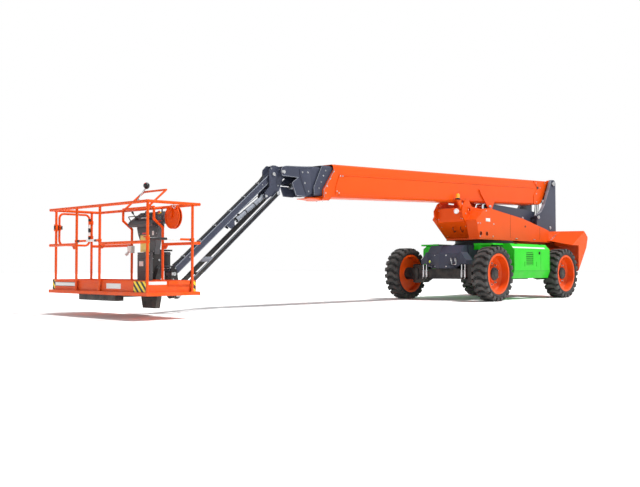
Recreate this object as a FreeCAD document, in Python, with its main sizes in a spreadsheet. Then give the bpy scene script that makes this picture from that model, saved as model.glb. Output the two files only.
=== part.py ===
import FreeCAD, Part
import os
import re
import Sketcher

# Telescopic boom lift. Millimetres, +X forward towards the platform, +Y to the machine's left,
# +Z up, ground at Z = 0. Pieces are drawn about the slewing axis, or about their own pin, and
# then shifted by slew_x, which puts the origin under the middle of the whole machine.

doc = FreeCAD.newDocument("BoomLift")
sheet = doc.addObject("Spreadsheet::Sheet", "Dimensions")

dimensions = {
    # running gear
    "slew_x": -3395,
    "axle_x": 1450,
    "wheel_y": 1085,
    "tyre_radius": 550,
    "tyre_half": 165,
    "rim_radius": 382,
    "rim_half": 132,
    "kingpin_y": 780,
    "kingpin_radius": 30,
    "yoke_radius": 85,
    "spindle_radius": 50,
    "hub_radius": 130,
    "lever_reach": 170,
    "steer_rod_radius": 20,
    "steer_rod_z": 515,
    # chassis
    "chassis_half": 430,
    "nose_half": 410,
    "nose_tip": 1750,
    "nose_corner": 1600,
    "nose_bottom": 660,
    "nose_edge": 965,
    "brow_run": 147,
    "deck_z": 1140,
    "chassis_wall": 20,
    "cover_half": 1150,
    "cover_inner": 445,
    "cover_front": 712,
    "cover_rear": -830,
    "cover_bottom": 450,
    "cover_top": 1180,
    "cover_wall": 8,
    "tie_hole": 28,
    "tie_x": 1712,
    "tie_y": 250,
    "pedestal_radius": 740,
    "ring_radius": 640,
    "ring_bore": 400,
    "ring_bottom": 1170,
    "ring_top": 1260,
    # turntable
    "deck_bottom": 1268,
    "deck_top": 1300,
    "lug_half": 360,
    "lug_plate": 26,
    "housing_half": 600,
    "housing_wall": 8,
    "tail_x": -3000,
    "tail_centre": -1000,
    "tail_half": 1210,
    "tail_slope": 0.53,
    "tail_droop": -10.8,
    "wheel_clear": 2440,
    "mast_half": 350,
    "mast_plate": 60,
    "mast_rear": -2700,
    "strut_half": 175,
    "strut_plate": 25,
    # boom pins
    "pivot_x": -2580,
    "pivot_z": 2720,
    "pivot_pin": 55,
    "boom_slope": 2.3,
    "lift_base_x": -1820,
    "lift_base_z": 1870,
    "lift_eye_x": 140,
    "lift_eye_z": 2020,
    "lift_barrel": 85,
    "lift_rod": 50,
    # boom sections, in the boom's own frame
    "base_half": 220,
    "base_top": 68,
    "base_bottom": -511,
    "base_wall": 12,
    "mid_half": 190,
    "mid_top": 38,
    "mid_bottom": -481,
    "mid_wall": 10,
    "fly_half": 162,
    "fly_top": 10,
    "fly_bottom": -453,
    "fly_wall": 8,
    "corner": 30,
    "slide_gap": 6,
    # knuckle and jib pins
    "knuckle_x": 6380,
    "knuckle_z": 2250,
    "level_base_x": 5640,
    "level_base_z": 2055,
    "level_eye_x": 6430,
    "level_eye_z": 2035,
    "jib_x": 6530,
    "jib_z": 2200,
    "link_x": 6470,
    "link_z": 1890,
    "jib_run": 2000,
    "jib_drop": 1620,
    "jib_half": 52,
    "jib_depth": 100,
    "knuckle_inner": 62,
    "knuckle_pin": 32,
    "link_y": 92,
    "link_plate": 26,
    "jib_base_x": 6700,
    "jib_base_z": 1830,
    "jib_eye_x": 7410,
    "jib_eye_z": 1330,
    "jib_barrel": 38,
    "jib_rod": 24,
    "rotate_x": 8640,
    "actuator_radius": 82,
    "actuator_low": 662,
    "actuator_high": 896,
    # platform
    "rear_x": 8950,
    "front_x": 9790,
    "platform_half": 1220,
    "floor_bottom": 310,
    "floor_top": 355,
    "toe_top": 500,
    "mid_rail": 992,
    "top_rail": 1503,
    "rail_radius": 20,
    "post_radius": 18,
    "toe_inset": 42,
    "toe_sheet": 5,
    "entry_right": -490,
    "entry_left": 100,
    "guard_right": -340,
    "guard_left": 410,
    "guard_low": 1225,
    "guard_high": 1340,
    "guard_reach": 150,
    "hoop_right": -300,
    "hoop_left": 250,
    "hoop_lean": 170,
    "hoop_top": 1775,
    "gate_foot": 1001,
    "gate_run": 490,
    "gate_rise": 458,
    "gate_corner": 70,
}
for row, (name, value) in enumerate(dimensions.items(), start=1):
    sheet.set(f"A{row}", name)
    sheet.set(f"B{row}", str(value))
    sheet.setAlias(f"B{row}", name)
doc.recompute()

aliasWord = re.compile(r"\b(" + "|".join(dimensions) + r")\b")
planeRole = {"XY": "XY_Plane", "XZ": "XZ_Plane", "YZ": "YZ_Plane"}
alongAxis = {
    "X": FreeCAD.Rotation(FreeCAD.Vector(0, 1, 0), 90),
    "Y": FreeCAD.Rotation(FreeCAD.Vector(1, 0, 0), -90),
    "Z": FreeCAD.Rotation(),
}
nodes = []


def bind(item, path, formula):
    """Tie one property to a formula written with the sheet's aliases."""
    item.setExpression(path, aliasWord.sub(r"Dimensions.\1", str(formula)))


def bindPoint(item, path, point):
    """Tie the X, Y and Z of a position to three formulas."""
    for axis, formula in zip("xyz", point):
        bind(item, f"{path}.{axis}", formula)


def sketch(body, plane, level, corners, circles=()):
    """A closed outline on one of the body's own planes, with round holes."""
    drawing = body.newObject("Sketcher::SketchObject", "Outline")
    planes = [p for p in body.Origin.OriginFeatures if p.Role == planeRole[plane]]
    drawing.AttachmentSupport = (planes[0], [""])
    drawing.MapMode = "FlatFace"
    bind(drawing, "AttachmentOffset.Base.z", level)
    count = len(corners)
    for index in range(count):
        start = FreeCAD.Vector(10 * index, index ** 2, 0)
        end = FreeCAD.Vector(10 * (index + 1), (index + 1) ** 2, 0)
        drawing.addGeometry(Part.LineSegment(start, end))
    for index, corner in enumerate(corners):
        drawing.addConstraint(Sketcher.Constraint("Coincident", index, 2, (index + 1) % count, 1))
        for kind, formula in zip(("DistanceX", "DistanceY"), corner):
            place = drawing.addConstraint(Sketcher.Constraint(kind, -1, 1, index, 1, 1.0))
            bind(drawing, f"Constraints[{place}]", formula)
    for across, up, radius in circles:
        circle = Part.Circle(FreeCAD.Vector(1, 1, 0), FreeCAD.Vector(0, 0, 1), 5)
        ring = drawing.addGeometry(circle)
        for kind, formula in (("DistanceX", across), ("DistanceY", up)):
            place = drawing.addConstraint(Sketcher.Constraint(kind, -1, 1, ring, 3, 1.0))
            bind(drawing, f"Constraints[{place}]", formula)
        place = drawing.addConstraint(Sketcher.Constraint("Radius", ring, 5.0))
        bind(drawing, f"Constraints[{place}]", radius)
    return drawing


def slab(plane, low, high, corners, circles=()):
    """An outline padded square to its plane, from low to high on the third axis."""
    body = doc.addObject("PartDesign::Body", "Slab")
    level = f"-({high})" if plane == "XZ" else low
    profile = sketch(body, plane, level, corners, circles)
    pad = body.newObject("PartDesign::Pad", "Pad")
    pad.Profile = profile
    bind(pad, "Length", f"({high}) - ({low})")
    profile.Visibility = False
    return body


def turned(corners, about="H_Axis"):
    """A revolve about Y with corners (along Y, radius), or about Z with (radius, height)."""
    body = doc.addObject("PartDesign::Body", "Turned")
    profile = sketch(body, "YZ", 0, corners)
    revolution = body.newObject("PartDesign::Revolution", "Revolution")
    revolution.Profile = profile
    revolution.ReferenceAxis = (profile, [about])
    revolution.Angle = 360
    return body


def block(low, high):
    """A box between two corners."""
    item = doc.addObject("Part::Box", "Block")
    for side, start, end in zip(("Length", "Width", "Height"), low, high):
        bind(item, side, f"({end}) - ({start})")
    bindPoint(item, "Placement.Base", low)
    return item


def rod(axis, start, radius, length):
    """A cylinder from start along an axis."""
    item = doc.addObject("Part::Cylinder", "Rod")
    bind(item, "Radius", radius)
    bind(item, "Height", length)
    item.Placement = FreeCAD.Placement(FreeCAD.Vector(), alongAxis[axis])
    bindPoint(item, "Placement.Base", start)
    return item


def ball(centre, radius):
    item = doc.addObject("Part::Sphere", "Ball")
    bind(item, "Radius", radius)
    bindPoint(item, "Placement.Base", centre)
    return item


def bar(start, end, radius):
    """A round bar between two places that share their X or their Y."""
    item = doc.addObject("Part::Cylinder", "Bar")
    along, side, up = (f"(({b}) - ({a}))" for a, b in zip(start, end))
    bind(item, "Radius", radius)
    bind(item, "Height", f"sqrt({along} ^ 2 + {side} ^ 2 + {up} ^ 2)")
    sameSide = str(start[1]) == str(end[1])
    axis = FreeCAD.Vector(0, 1, 0) if sameSide else FreeCAD.Vector(-1, 0, 0)
    item.Placement = FreeCAD.Placement(FreeCAD.Vector(), FreeCAD.Rotation(axis, 1))
    bind(item, "Placement.Rotation.Angle", f"atan2({along if sameSide else side}; {up})")
    bindPoint(item, "Placement.Base", start)
    return item


def bentBar(places, radius):
    """Straight bars from place to place, with a ball at each bend."""
    bars = [bar(start, end, radius) for start, end in zip(places, places[1:])]
    return fuse(*bars, *[ball(place, radius) for place in places[1:-1]])


def elbow(centre, quarter, bend, radius):
    """A quarter of a ring standing in the XZ plane; quarter 0 runs from +X to +Z."""
    item = doc.addObject("Part::Torus", "Elbow")
    bind(item, "Radius1", bend)
    bind(item, "Radius2", radius)
    item.Angle3 = 90
    upright = FreeCAD.Rotation(FreeCAD.Vector(1, 0, 0), 90)
    spin = FreeCAD.Rotation(FreeCAD.Vector(0, -1, 0), 90 * quarter)
    item.Placement = FreeCAD.Placement(FreeCAD.Vector(), spin.multiply(upright))
    bindPoint(item, "Placement.Base", centre)
    return item


def fuse(first, *others):
    """Join pieces one after another."""
    whole = first
    for piece in others:
        joined = doc.addObject("Part::Fuse", "Fuse")
        joined.Base = whole
        joined.Tool = piece
        joined.Refine = True
        whole = joined
    return whole


def cut(base, *tools):
    item = doc.addObject("Part::Cut", "Cut")
    item.Base = base
    item.Tool = tools[0] if len(tools) == 1 else fuse(*tools)
    return item


def common(*pieces):
    item = doc.addObject("Part::MultiCommon", "Common")
    item.Shapes = list(pieces)
    return item


def mirrored(source):
    """The same piece on the other side of the machine's middle plane."""
    item = doc.addObject("Part::Mirroring", "Mirror")
    item.Source = source
    item.Normal = FreeCAD.Vector(0, 1, 0)
    return item


def bothSides(source):
    return fuse(source, mirrored(source))


def node(label, item, place=(0, 0, 0), pitch=None, turn=None):
    """Name a finished sub-part and put it at its place: pitch tips it about Y, turn about Z."""
    item.Label = label
    if pitch is not None:
        item.Placement = FreeCAD.Placement(FreeCAD.Vector(), FreeCAD.Rotation(FreeCAD.Vector(0, 1, 0), 1))
        bind(item, "Placement.Rotation.Angle", pitch)
    if turn is not None:
        upAxis = FreeCAD.Vector(0, 0, 1)
        item.Placement = FreeCAD.Placement(FreeCAD.Vector(), FreeCAD.Rotation(upAxis, turn))
    across, side, up = place
    bindPoint(item, "Placement.Base", (f"slew_x + ({across})", side, up))
    nodes.append(item)


def mirrorPlan(half):
    """The whole outline of a plan view from its +Y half, listed front to rear."""
    return half + [(x, f"-({y})") for x, y in reversed(half) if y != 0]


def mirrorEnd(half):
    """The whole outline of an end view from its +Y half."""
    return half + [(f"-({y})", z) for y, z in reversed(half) if y != 0]


# ---- running gear

def makeTyre():
    side = [("-rim_half", "rim_radius"), ("-rim_half", "rim_radius + 28"),
            ("-tyre_half", "rim_radius + 62"), ("-tyre_half", "tyre_radius - 40"), ("-tyre_half + 22", "tyre_radius - 8"),
            ("-tyre_half + 42", "tyre_radius")]
    other = [(across.replace("-", "", 1).replace("+ 22", "- 22").replace("+ 42", "- 42"), radius)
             for across, radius in reversed(side)]
    return turned(side + other)


def makeRim():
    flange = "rim_radius + 26"
    return turned([
        ("-rim_half - 12", "rim_radius - 16"), ("-rim_half - 12", flange), ("-rim_half", flange),
        ("-rim_half", "rim_radius"), ("rim_half", "rim_radius"), ("rim_half", flange),
        ("rim_half + 12", flange), ("rim_half + 12", "rim_radius - 16"), ("0", "rim_radius - 22"),
        ("-30", "rim_radius - 60"), ("-30", "170"), ("10", "160"), ("30", "135"), ("30", "0"), ("5", "0"),
        ("5", "spindle_radius + 0.06"), ("-52", "spindle_radius + 0.06"), ("-52", "rim_radius - 60"),
        ("-30", "rim_radius - 22"),
    ])


wheelSpots = {
    "front_left": ("axle_x", "wheel_y", 0),
    "front_right": ("axle_x", "-wheel_y", 180),
    "rear_left": ("-axle_x", "wheel_y", 0),
    "rear_right": ("-axle_x", "-wheel_y", 180),
}
for spot, (along, side, turn) in wheelSpots.items():
    node(f"tyre_{spot}", makeTyre(), (along, side, "tyre_radius"), turn=turn)
    node(f"rim_{spot}", makeRim(), (along, side, "tyre_radius"), turn=turn)


def makeFrontAxle():
    """Box beam with a fork at each end, the guide of the steering rod and the lock-out cylinders."""
    beam = slab("YZ", -100, 100, mirrorEnd([
        (0, 655), (330, 655), (430, 640), (560, 740), (680, 740), (680, 360), (560, 360), (430, 440),
        (0, 440)]))
    pieces = [beam]
    for level in (675, 360):
        arm = block((-85, 640, level), (85, "kingpin_y", f"{level} + 65"))
        end = rod("Z", (0, "kingpin_y", level), "yoke_radius", 65)
        pieces += [arm, mirrored(arm), end, mirrored(end)]
    throat = block((-120, 660, 425), (120, 900, 675))
    barrel = rod("Y", ("-lever_reach", -260, "steer_rod_z"), 46, 520)
    bracket = block(("-lever_reach", -200, 470), (0, 200, 560))
    bore = rod("Y", ("-lever_reach", -400, "steer_rod_z"), "steer_rod_radius + 2", 800)
    pinHole = rod("Z", (0, "kingpin_y", 300), "kingpin_radius + 1", 500)
    axle = cut(fuse(*pieces, barrel, bracket), throat, mirrored(throat), bore, pinHole, mirrored(pinHole))
    foot = block((95, 410, 440), (155, 550, 470))
    cylinders = [foot, mirrored(foot)]
    for side in (440, 520):
        cylinder = fuse(rod("Z", (125, side, 470), 26, 150), rod("Z", (125, side, 620), 13, 135))
        cylinders += [cylinder, mirrored(cylinder)]
    return fuse(axle, *cylinders)


def makeKnuckle():
    """Left knuckle about its kingpin: post, hub carrier, planetary motor and steering lever."""
    post = rod("Z", (0, 0, 431), 78, 238)
    kingpin = rod("Z", (0, 0, 350), "kingpin_radius", 400)
    neck = block((-75, 0, 440), (75, 120, 660))
    hub = rod("Y", (0, 96, "tyre_radius"), "hub_radius", "wheel_y - kingpin_y - 154")
    lever = block(("-lever_reach", -18, 500), (0, 18, 530))
    eye = rod("Z", ("-lever_reach", 0, 500), 30, 30)
    spindle = rod("Y", (0, "wheel_y - kingpin_y - 70", "tyre_radius"), "spindle_radius", 70)
    return fuse(post, kingpin, neck, hub, spindle, lever, eye)


node("front_axle", makeFrontAxle(), ("axle_x", 0, 0))
node("left_knuckle", makeKnuckle(), ("axle_x", "kingpin_y", 0))
node("right_knuckle", mirrored(makeKnuckle()), ("axle_x", "-kingpin_y", 0))

steerRod = rod("Y", ("-lever_reach", -680, "steer_rod_z"), "steer_rod_radius", 1360)
forks = []
for level in (470, 540):
    fork = block(("-lever_reach - 34", 680, level), ("-lever_reach + 34", 820, f"{level} + 20"))
    forks += [fork, mirrored(fork)]
web = block(("-lever_reach - 34", 668, 470), ("-lever_reach + 34", 690, 560))
node("steering_rod", fuse(steerRod, *forks, web, mirrored(web)), ("axle_x", 0, 0))

rearBeam = slab("YZ", -110, 110, mirrorEnd([
    (0, 655), (430, 655), (560, 700), (860, 680), (860, 420), (560, 400), (430, 440), (0, 440)]))
rearHub = rod("Y", (0, 850, "tyre_radius"), "hub_radius", "wheel_y - 908")
rearSpindle = rod("Y", (0, "wheel_y - 70", "tyre_radius"), "spindle_radius", 70)
node("rear_axle", fuse(rearBeam, bothSides(fuse(rearHub, rearSpindle))), ("-axle_x", 0, 0))

# ---- chassis

middle = slab("XZ", "-chassis_half", "chassis_half", [
    (1300, "deck_z"), (-1300, "deck_z"), (-1300, "nose_bottom"), (-1240, "nose_bottom"), (-1160, 460),
    (1160, 460), (1240, "nose_bottom"), (1300, "nose_bottom")])
middleRoom = block((-1140, "chassis_wall - chassis_half", 480),
                   (1140, "chassis_half - chassis_wall", "deck_z - chassis_wall"))


def makeNose():
    """Prow with two upright faces that meet in the middle and a sloping brow above each."""
    turn = "atan2(nose_tip - nose_corner; nose_half)"
    reach = f"nose_tip * cos({turn})"
    plan = slab("XY", "nose_bottom", "deck_z", mirrorPlan([
        ("nose_tip", 0), ("nose_corner", "nose_half"), (1280, "nose_half")]))
    keel = slab("YZ", 1200, "nose_tip + 50", mirrorEnd([
        (0, "deck_z"), ("nose_half + 20", "deck_z"), ("nose_half + 20", 740), (250, "nose_bottom")]))
    brows = []
    for sign in ("", "-"):
        brow = slab("XZ", -900, 900, [
            (reach, "nose_edge"), (f"{reach} - 2 * brow_run", "2 * deck_z - nose_edge"),
            (f"{reach} + 200", "2 * deck_z - nose_edge"), (f"{reach} + 200", "nose_edge")])
        brow.Placement = FreeCAD.Placement(FreeCAD.Vector(), FreeCAD.Rotation(FreeCAD.Vector(0, 0, 1), 1))
        bind(brow, "Placement.Rotation.Angle", f"{sign}{turn}")
        half = block((1000, 0, 600), (2000, 900, 1400))
        brows.append(common(brow, mirrored(half) if sign else half))
    room = block((1320, -340, "nose_bottom + 30"), (1540, 340, "nose_edge - 30"))
    return cut(common(plan, keel), room, *brows)


def makeTieLug(sign):
    """Flat lug at the foot of the prow, with a hole that a shackle hangs in."""
    side = f"{sign}tie_y"
    return slab("XY", 692, 714, [
        (1600, f"{side} - 65"), ("tie_x + 25", f"{side} - 65"), ("tie_x + 60", f"{side} - 35"),
        ("tie_x + 60", f"{side} + 35"), ("tie_x + 25", f"{side} + 65"), (1600, f"{side} + 65")],
        [("tie_x", side, "tie_hole")])


def makeArm():
    """Outrigger over the axle that the lock-out cylinders press against."""
    return slab("YZ", 1350, 1600, [
        (390, 755), (390, 1000), (430, 1000), (560, 830), (560, 755)])


def bothEnds(source):
    item = doc.addObject("Part::Mirroring", "Mirror")
    item.Source = source
    item.Normal = FreeCAD.Vector(1, 0, 0)
    return fuse(source, item)


noseParts = bothEnds(fuse(makeNose(), makeTieLug(""), makeTieLug("-")))
pedestal = cut(rod("Z", (0, 0, 1080), "pedestal_radius", "ring_bottom - 1080"),
               rod("Z", (0, 0, 1000), "ring_bore + 10", 400))
node("chassis_frame", fuse(cut(middle, middleRoom), pedestal, noseParts, bothSides(bothEnds(makeArm()))))
node("slewing_ring", cut(rod("Z", (0, 0, "ring_bottom"), "ring_radius", "ring_top - ring_bottom"),
                         rod("Z", (0, 0, 1000), "ring_bore", 400)))


def makeSideCover():
    """Sheet cover of the left side with its louvred vent, its slits and the shelf in front."""
    outer = slab("YZ", "cover_rear", "cover_front", [
        ("cover_inner", "cover_bottom"), ("cover_half - 55", "cover_bottom"), ("cover_half", 600),
        ("cover_half", "cover_top - 110"), ("cover_half - 110", "cover_top"), ("cover_inner", "cover_top")])
    inner = slab("YZ", "cover_rear + cover_wall", "cover_front - cover_wall", [
        ("cover_inner - 20", "cover_bottom + cover_wall"),
        ("cover_half - 61", "cover_bottom + cover_wall"), ("cover_half - cover_wall", 602),
        ("cover_half - cover_wall", "cover_top - 113"), ("cover_half - 113", "cover_top - cover_wall"),
        ("cover_inner - 20", "cover_top - cover_wall")])
    ringRoom = rod("Z", (0, 0, 1050), "pedestal_radius + 15", 300)
    skin = "cover_half - cover_wall"
    windows = [block((-90, f"{skin} - 20", 730), (210, "cover_half + 20", 1000))]
    windows += [block((along - 8, f"{skin} - 20", 700), (along + 8, "cover_half + 20", 800))
                for along in (270, -230)]
    slats = [slab("YZ", -90, 210, [
        (skin, 735 + 45 * step), (skin, 741 + 45 * step), ("cover_half", 765 + 45 * step),
        ("cover_half", 759 + 45 * step)]) for step in range(6)]
    shelf = block(("cover_front - cover_wall", "cover_inner", 1145), (1130, 900, "cover_top"))
    shelfRoom = block(("cover_front - 2 * cover_wall", 400, 1130), (1122, 892, "cover_top - cover_wall"))
    shell = cut(fuse(outer, shelf), inner, shelfRoom, ringRoom, *windows)
    return fuse(shell, *slats)


node("side_covers", bothSides(makeSideCover()))
node("battery_packs", bothSides(block((-640, 500, 500), (560, 1040, 1010))))

# ---- turntable

deck = slab("XY", "deck_bottom", "deck_top", [
    (1180, "housing_half"), (-1850, "housing_half"), (-2650, 300), (-2650, -300), (-1850, "-housing_half"),
    (600, "-housing_half"), (935, "-lug_half"), (935, "lug_half"), (1180, "lug_half")])
lugFront = [(860, "deck_bottom"), (1410, 1730), (1430, 1870)]
lugRear = [(-1750, 1560), (-1750, "deck_bottom")]
leftLug = slab("XZ", "lug_half - lug_plate", "lug_half", lugFront + [
    (1400, 1970), (1280, 2090), (1180, 2085), (1060, 1960), (430, 1905)] + lugRear, [(1170, 1890, 40)])
rightLug = slab("XZ", "-lug_half", "lug_plate - lug_half", lugFront + [
    (1300, 2030), (1100, 2120), (600, 2140), (380, 1990)] + lugRear, [(1220, 2000, 32)])
rightSlot = block((660, "-lug_half - 5", 2050), (900, "lug_plate - lug_half + 5", 2080))
spigot = rod("Z", (0, 0, 1160), "ring_bore - 10", 130)
lightArm = slab("XZ", 300, "lug_half - lug_plate + 1", [
    (1372, 1880), (1420, 1880), (1540, 2050), (1540, 2080), (1440, 2080), (1370, 1960)])
lightShelf = block((1440, 250, 2068), (1560, "lug_half - lug_plate + 1", 2080))
lampArm = block((1400, 285, 1830), (1500, "lug_half - lug_plate + 1", 1850))
node("turntable_frame", fuse(deck, leftLug, cut(rightLug, rightSlot), spigot, lightArm, lightShelf,
                             lampArm))

coverHalf = "lug_half - lug_plate"
node("front_cover", slab("XZ", f"-({coverHalf})", coverHalf, [
    (900, "deck_top"), (930, "deck_top"), (1320, 1640), (1320, 1930), (1296, 1930), (1296, 1652)]))


def makeHousing(low, high, foot, shoulder):
    """Hollow side housing with walls all round; foot and shoulder are its front edge."""
    outline = [(foot, "deck_top"), shoulder, (990, 1900), (740, 1930), (-660, 1770), (-1700, 1575),
               (-1850, 1540), (-1850, "deck_top")]
    inset = [(f"{foot} - 14", "deck_top + 8"), (f"{shoulder[0]} - 12", f"{shoulder[1]} - 3"), (987, 1890),
             (740, 1922), (-660, 1762), (-1700, 1567), (-1842, 1533), (-1842, "deck_top + 8")]
    room = slab("XZ", f"{low} + housing_wall", f"{high} - housing_wall", inset)
    return cut(slab("XZ", low, high, outline), room)


leftHousing = makeHousing("lug_half", "housing_half", 1180, (1290, 1670))
rightHousing = mirrored(makeHousing("lug_half", "housing_half", 600, (1130, 1715)))
bossPlate = slab("XZ", "housing_half", "housing_half + 6", [
    (1166, "deck_top"), (1282, 1668), (988, 1893), (750, 1918), (570, 1600), (580, "deck_top")])
bossHoles = [rod("Y", (along, 400, 1390), 32, 300) for along in (1110, 870)]
node("side_housings", fuse(cut(fuse(leftHousing, bossPlate), *bossHoles), rightHousing))


def makeTail():
    """Cast counterweight: a bowl turned about its own centre, flattened at the sides, with sloping
    shoulders at the front and room for the wheels under it and the mast in it."""
    bowl = turned([
        (0, 590), (1630, 590), (1830, 950), (1945, 1150), ("tail_centre - tail_x", 1350),
        ("tail_centre - tail_x", 1400), (1860, 1540), (0, 1540)], "V_Axis")
    bindPoint(bowl, "Placement.Base", ("tail_centre", 0, 0))
    sides = block(("tail_x - 50", "-tail_half", 500), (-1740, "tail_half", 1600))
    slope = slab("XZ", -400, 1600, [
        (-1300, "1300 * tail_slope * cos(tail_droop)"), (-2900, "2900 * tail_slope * cos(tail_droop)"),
        (-2900, 2400), (-1300, 2400)])
    slope.Placement = FreeCAD.Placement(
        FreeCAD.Vector(0, 0, 470), FreeCAD.Rotation(FreeCAD.Vector(1, 0, 0), 1))
    bind(slope, "Placement.Rotation.Angle", "tail_droop")
    shoulder = common(slope, block((-3100, 0, 1000), (-1500, 1500, 2400)))
    wheelRoom = rod("Z", (0, 0, 400), "wheel_clear", 790)
    lip = slab("YZ", -2120, -1600, [
        ("housing_half", 1180), ("housing_half", 1310), (1230, 1190), (1230, 1180)])
    deckRoom = block((-2700, "-housing_half - 4", 1150), (-1600, "housing_half + 4", "deck_top + 4"))
    housingSpace = block((-1856, "-housing_half - 4", 1150), (-1500, "housing_half + 4", 1700))
    mastRoom = block(("mast_rear - 20", "-mast_half - 2", 1150), (-1600, "mast_half + 2", 1700))
    return cut(common(bowl, sides), shoulder, mirrored(shoulder), wheelRoom, lip, mirrored(lip),
               deckRoom, housingSpace, mastRoom)


node("counterweight", makeTail())

mastPlate = slab("XZ", "mast_half - mast_plate", "mast_half", [
    (-2500, 2800), (-2640, 2800), ("mast_rear", 2740), ("mast_rear", "deck_top"), (-1752, "deck_top"),
    (-1752, 1900), (-1980, 2010), (-2150, 2190), (-2350, 2530)])
mastBack = block(("mast_rear", "-mast_half + 5", 1320), (-2660, "mast_half - 5", 1830))
mastBrace = block(("mast_rear", "-mast_half + 5", 2350), (-2668, "mast_half - 5", 2560))
mastFoot = block((-2690, "-mast_half + 5", "deck_top"), (-1760, "mast_half - 5", 1340))
strut = slab("XZ", "strut_half - strut_plate", "strut_half", [
    (-40, 1970), (-40, 2088), (-1430, 2045), (-1960, 2010), (-2000, 1330), (-1700, 1330), (-1300, 1760)])
strutTie = block((-2000, "-strut_half", 1330), (-1960, "strut_half", 1600))
boomPin = rod("Y", ("pivot_x", "-mast_half - 12", "pivot_z"), "pivot_pin", "2 * mast_half + 24")
liftPin = rod("Y", ("lift_base_x", "-mast_half - 10", "lift_base_z"), 38, "2 * mast_half + 20")
node("mast", fuse(bothSides(mastPlate), mastBack, mastBrace, mastFoot, bothSides(strut), strutTie,
                  boomPin, liftPin))

beacon = fuse(rod("Z", (1500, 300, 2080), 45, 35), rod("Z", (1500, 300, 2115), 38, 95))
workLamp = fuse(rod("X", (1500, 300, 1840), 44, 45), rod("X", (1545, 300, 1840), 50, 20))
node("lights", fuse(beacon, workLamp))

# ---- boom, drawn about its pivot with X along the boom


def boomFrame(along, up):
    """A place in the machine's frame, told in the boom's own frame."""
    run = f"({along} - pivot_x)"
    rise = f"({up} - pivot_z)"
    return (f"{run} * cos(boom_slope) - {rise} * sin(boom_slope)",
            f"{run} * sin(boom_slope) + {rise} * cos(boom_slope)")


def boxSection(rear, front, half, top, bottom, wall):
    """A hollow section with cut corners between two stations along the boom."""
    outer = [(f"{half} - corner", top), (half, f"{top} - corner"), (half, f"{bottom} + corner"),
             (f"{half} - corner", bottom)]
    inner = [(f"{half} - corner", f"{top} - {wall}"), (f"{half} - {wall}", f"{top} - corner"),
             (f"{half} - {wall}", f"{bottom} + corner"), (f"{half} - corner", f"{bottom} + {wall}")]
    return cut(slab("YZ", rear, front, mirrorEnd(outer)),
               slab("YZ", f"{rear} - 5", f"{front} + 5", mirrorEnd(inner)))


baseShell = common(boxSection(-90, 8140, "base_half", "base_top", "base_bottom", "base_wall"), slab(
    "XZ", -400, 400, [
        (-40, -60), (-40, "base_top"), (7840, "base_top"), (7822, -32), (8106, -389),
        (8104, "base_bottom"), (481, "base_bottom")]))
pivotBoss = bothSides(rod("Y", (0, 196, 0), 90, 66))
pivotHole = rod("Y", (0, -400, 0), "pivot_pin + 2", 800)
collar = slab("YZ", 7700, 8110, mirrorEnd([("base_half + 14", 30), ("base_half + 14", -520), (190, -560)]))
collarRoom = slab("YZ", 7600, 8200, mirrorEnd([
    ("mid_half + slide_gap", "mid_top + slide_gap"), ("mid_half + slide_gap", "mid_bottom - slide_gap")]))
collarView = slab("XZ", -400, 400, [
    (7756, -32), (7822, -32), (8106, -389), (8104, -520), (8377, -524), (8377, -534), (8070, -560),
    (7930, -560), (7930, -420)])
frontCollar = common(cut(fuse(collar, slab("YZ", 8100, 8380, mirrorEnd([(160, -505), (160, -560)]))),
                         collarRoom), collarView)
bracketPlate = slab("XZ", "base_half", "base_half + 24", [
    (2500, -260), (3170, -230), (3100, -330), (2790, -660), (2680, -660), (2530, -450)])
backPlate = slab("XZ", "base_half", "base_half + 10", [
    (-40, -60), (-40, 50), (760, 50), (560, -110), (760, -300), (760, -500), (481, -500)])
liftPlace = boomFrame("lift_eye_x", "lift_eye_z")
bracketCap = rod("Y", (liftPlace[0], "base_half + 24", liftPlace[1]), 36, 14)
node("base_boom", fuse(cut(fuse(baseShell, bothSides(backPlate), pivotBoss), pivotHole), frontCollar,
                       bothSides(bracketPlate), bothSides(bracketCap)),
     ("pivot_x", 0, "pivot_z"), pitch="boom_slope")

midShell = common(boxSection(300, 8330, "mid_half", "mid_top", "mid_bottom", "mid_wall"), slab(
    "XZ", -400, 400, [
        (290, 100), (8060, 100), (8103, 9), (8308, -352), (8300, "mid_bottom"), (290, "mid_bottom")]))
node("mid_boom", fuse(midShell), ("pivot_x", 0, "pivot_z"), pitch="boom_slope")

flyShell = boxSection(500, 8360, "fly_half", "fly_top", "fly_bottom", "fly_wall")
headPlate = slab("XZ", "fly_half - 26", "fly_half - 2", [
    (8300, "fly_top"), (8920, -14), (9010, -30), (9040, -100), (9010, -180), (8900, -178), (8640, -190),
    (8788, -285), (8705, -493), (8480, -505), (8300, "fly_bottom")])
headPlace = boomFrame("knuckle_x", "knuckle_z")
headBoss = rod("Y", (headPlace[0], 90, headPlace[1]), 58, "fly_half - 92")
headPin = rod("Y", (headPlace[0], "4 - fly_half", headPlace[1]), "knuckle_pin", "2 * fly_half - 8")
levelPlace = boomFrame("level_base_x", "level_base_z")
levelPin = rod("Y", (levelPlace[0], "4 - fly_half", levelPlace[1]), 20, "2 * fly_half - 8")
headFloor = block((8300, -150, -500), (8470, 150, -488))
headLid = block((8300, -150, -14), (8860, 150, -4))
node("fly_boom", fuse(flyShell, bothSides(headPlate), bothSides(headBoss), headPin, levelPin, headFloor,
                      headLid),
     ("pivot_x", 0, "pivot_z"), pitch="boom_slope")

# ---- cylinders, drawn about their base pin with X towards the rod's eye


def aimed(label, item, base, eye):
    """Name a cylinder's piece and tip it from its base pin towards the rod's eye."""
    slope = f"atan2({base}_z - {eye}_z; {eye}_x - {base}_x)"
    node(label, item, (f"{base}_x", 0, f"{base}_z"), pitch=slope)


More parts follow.
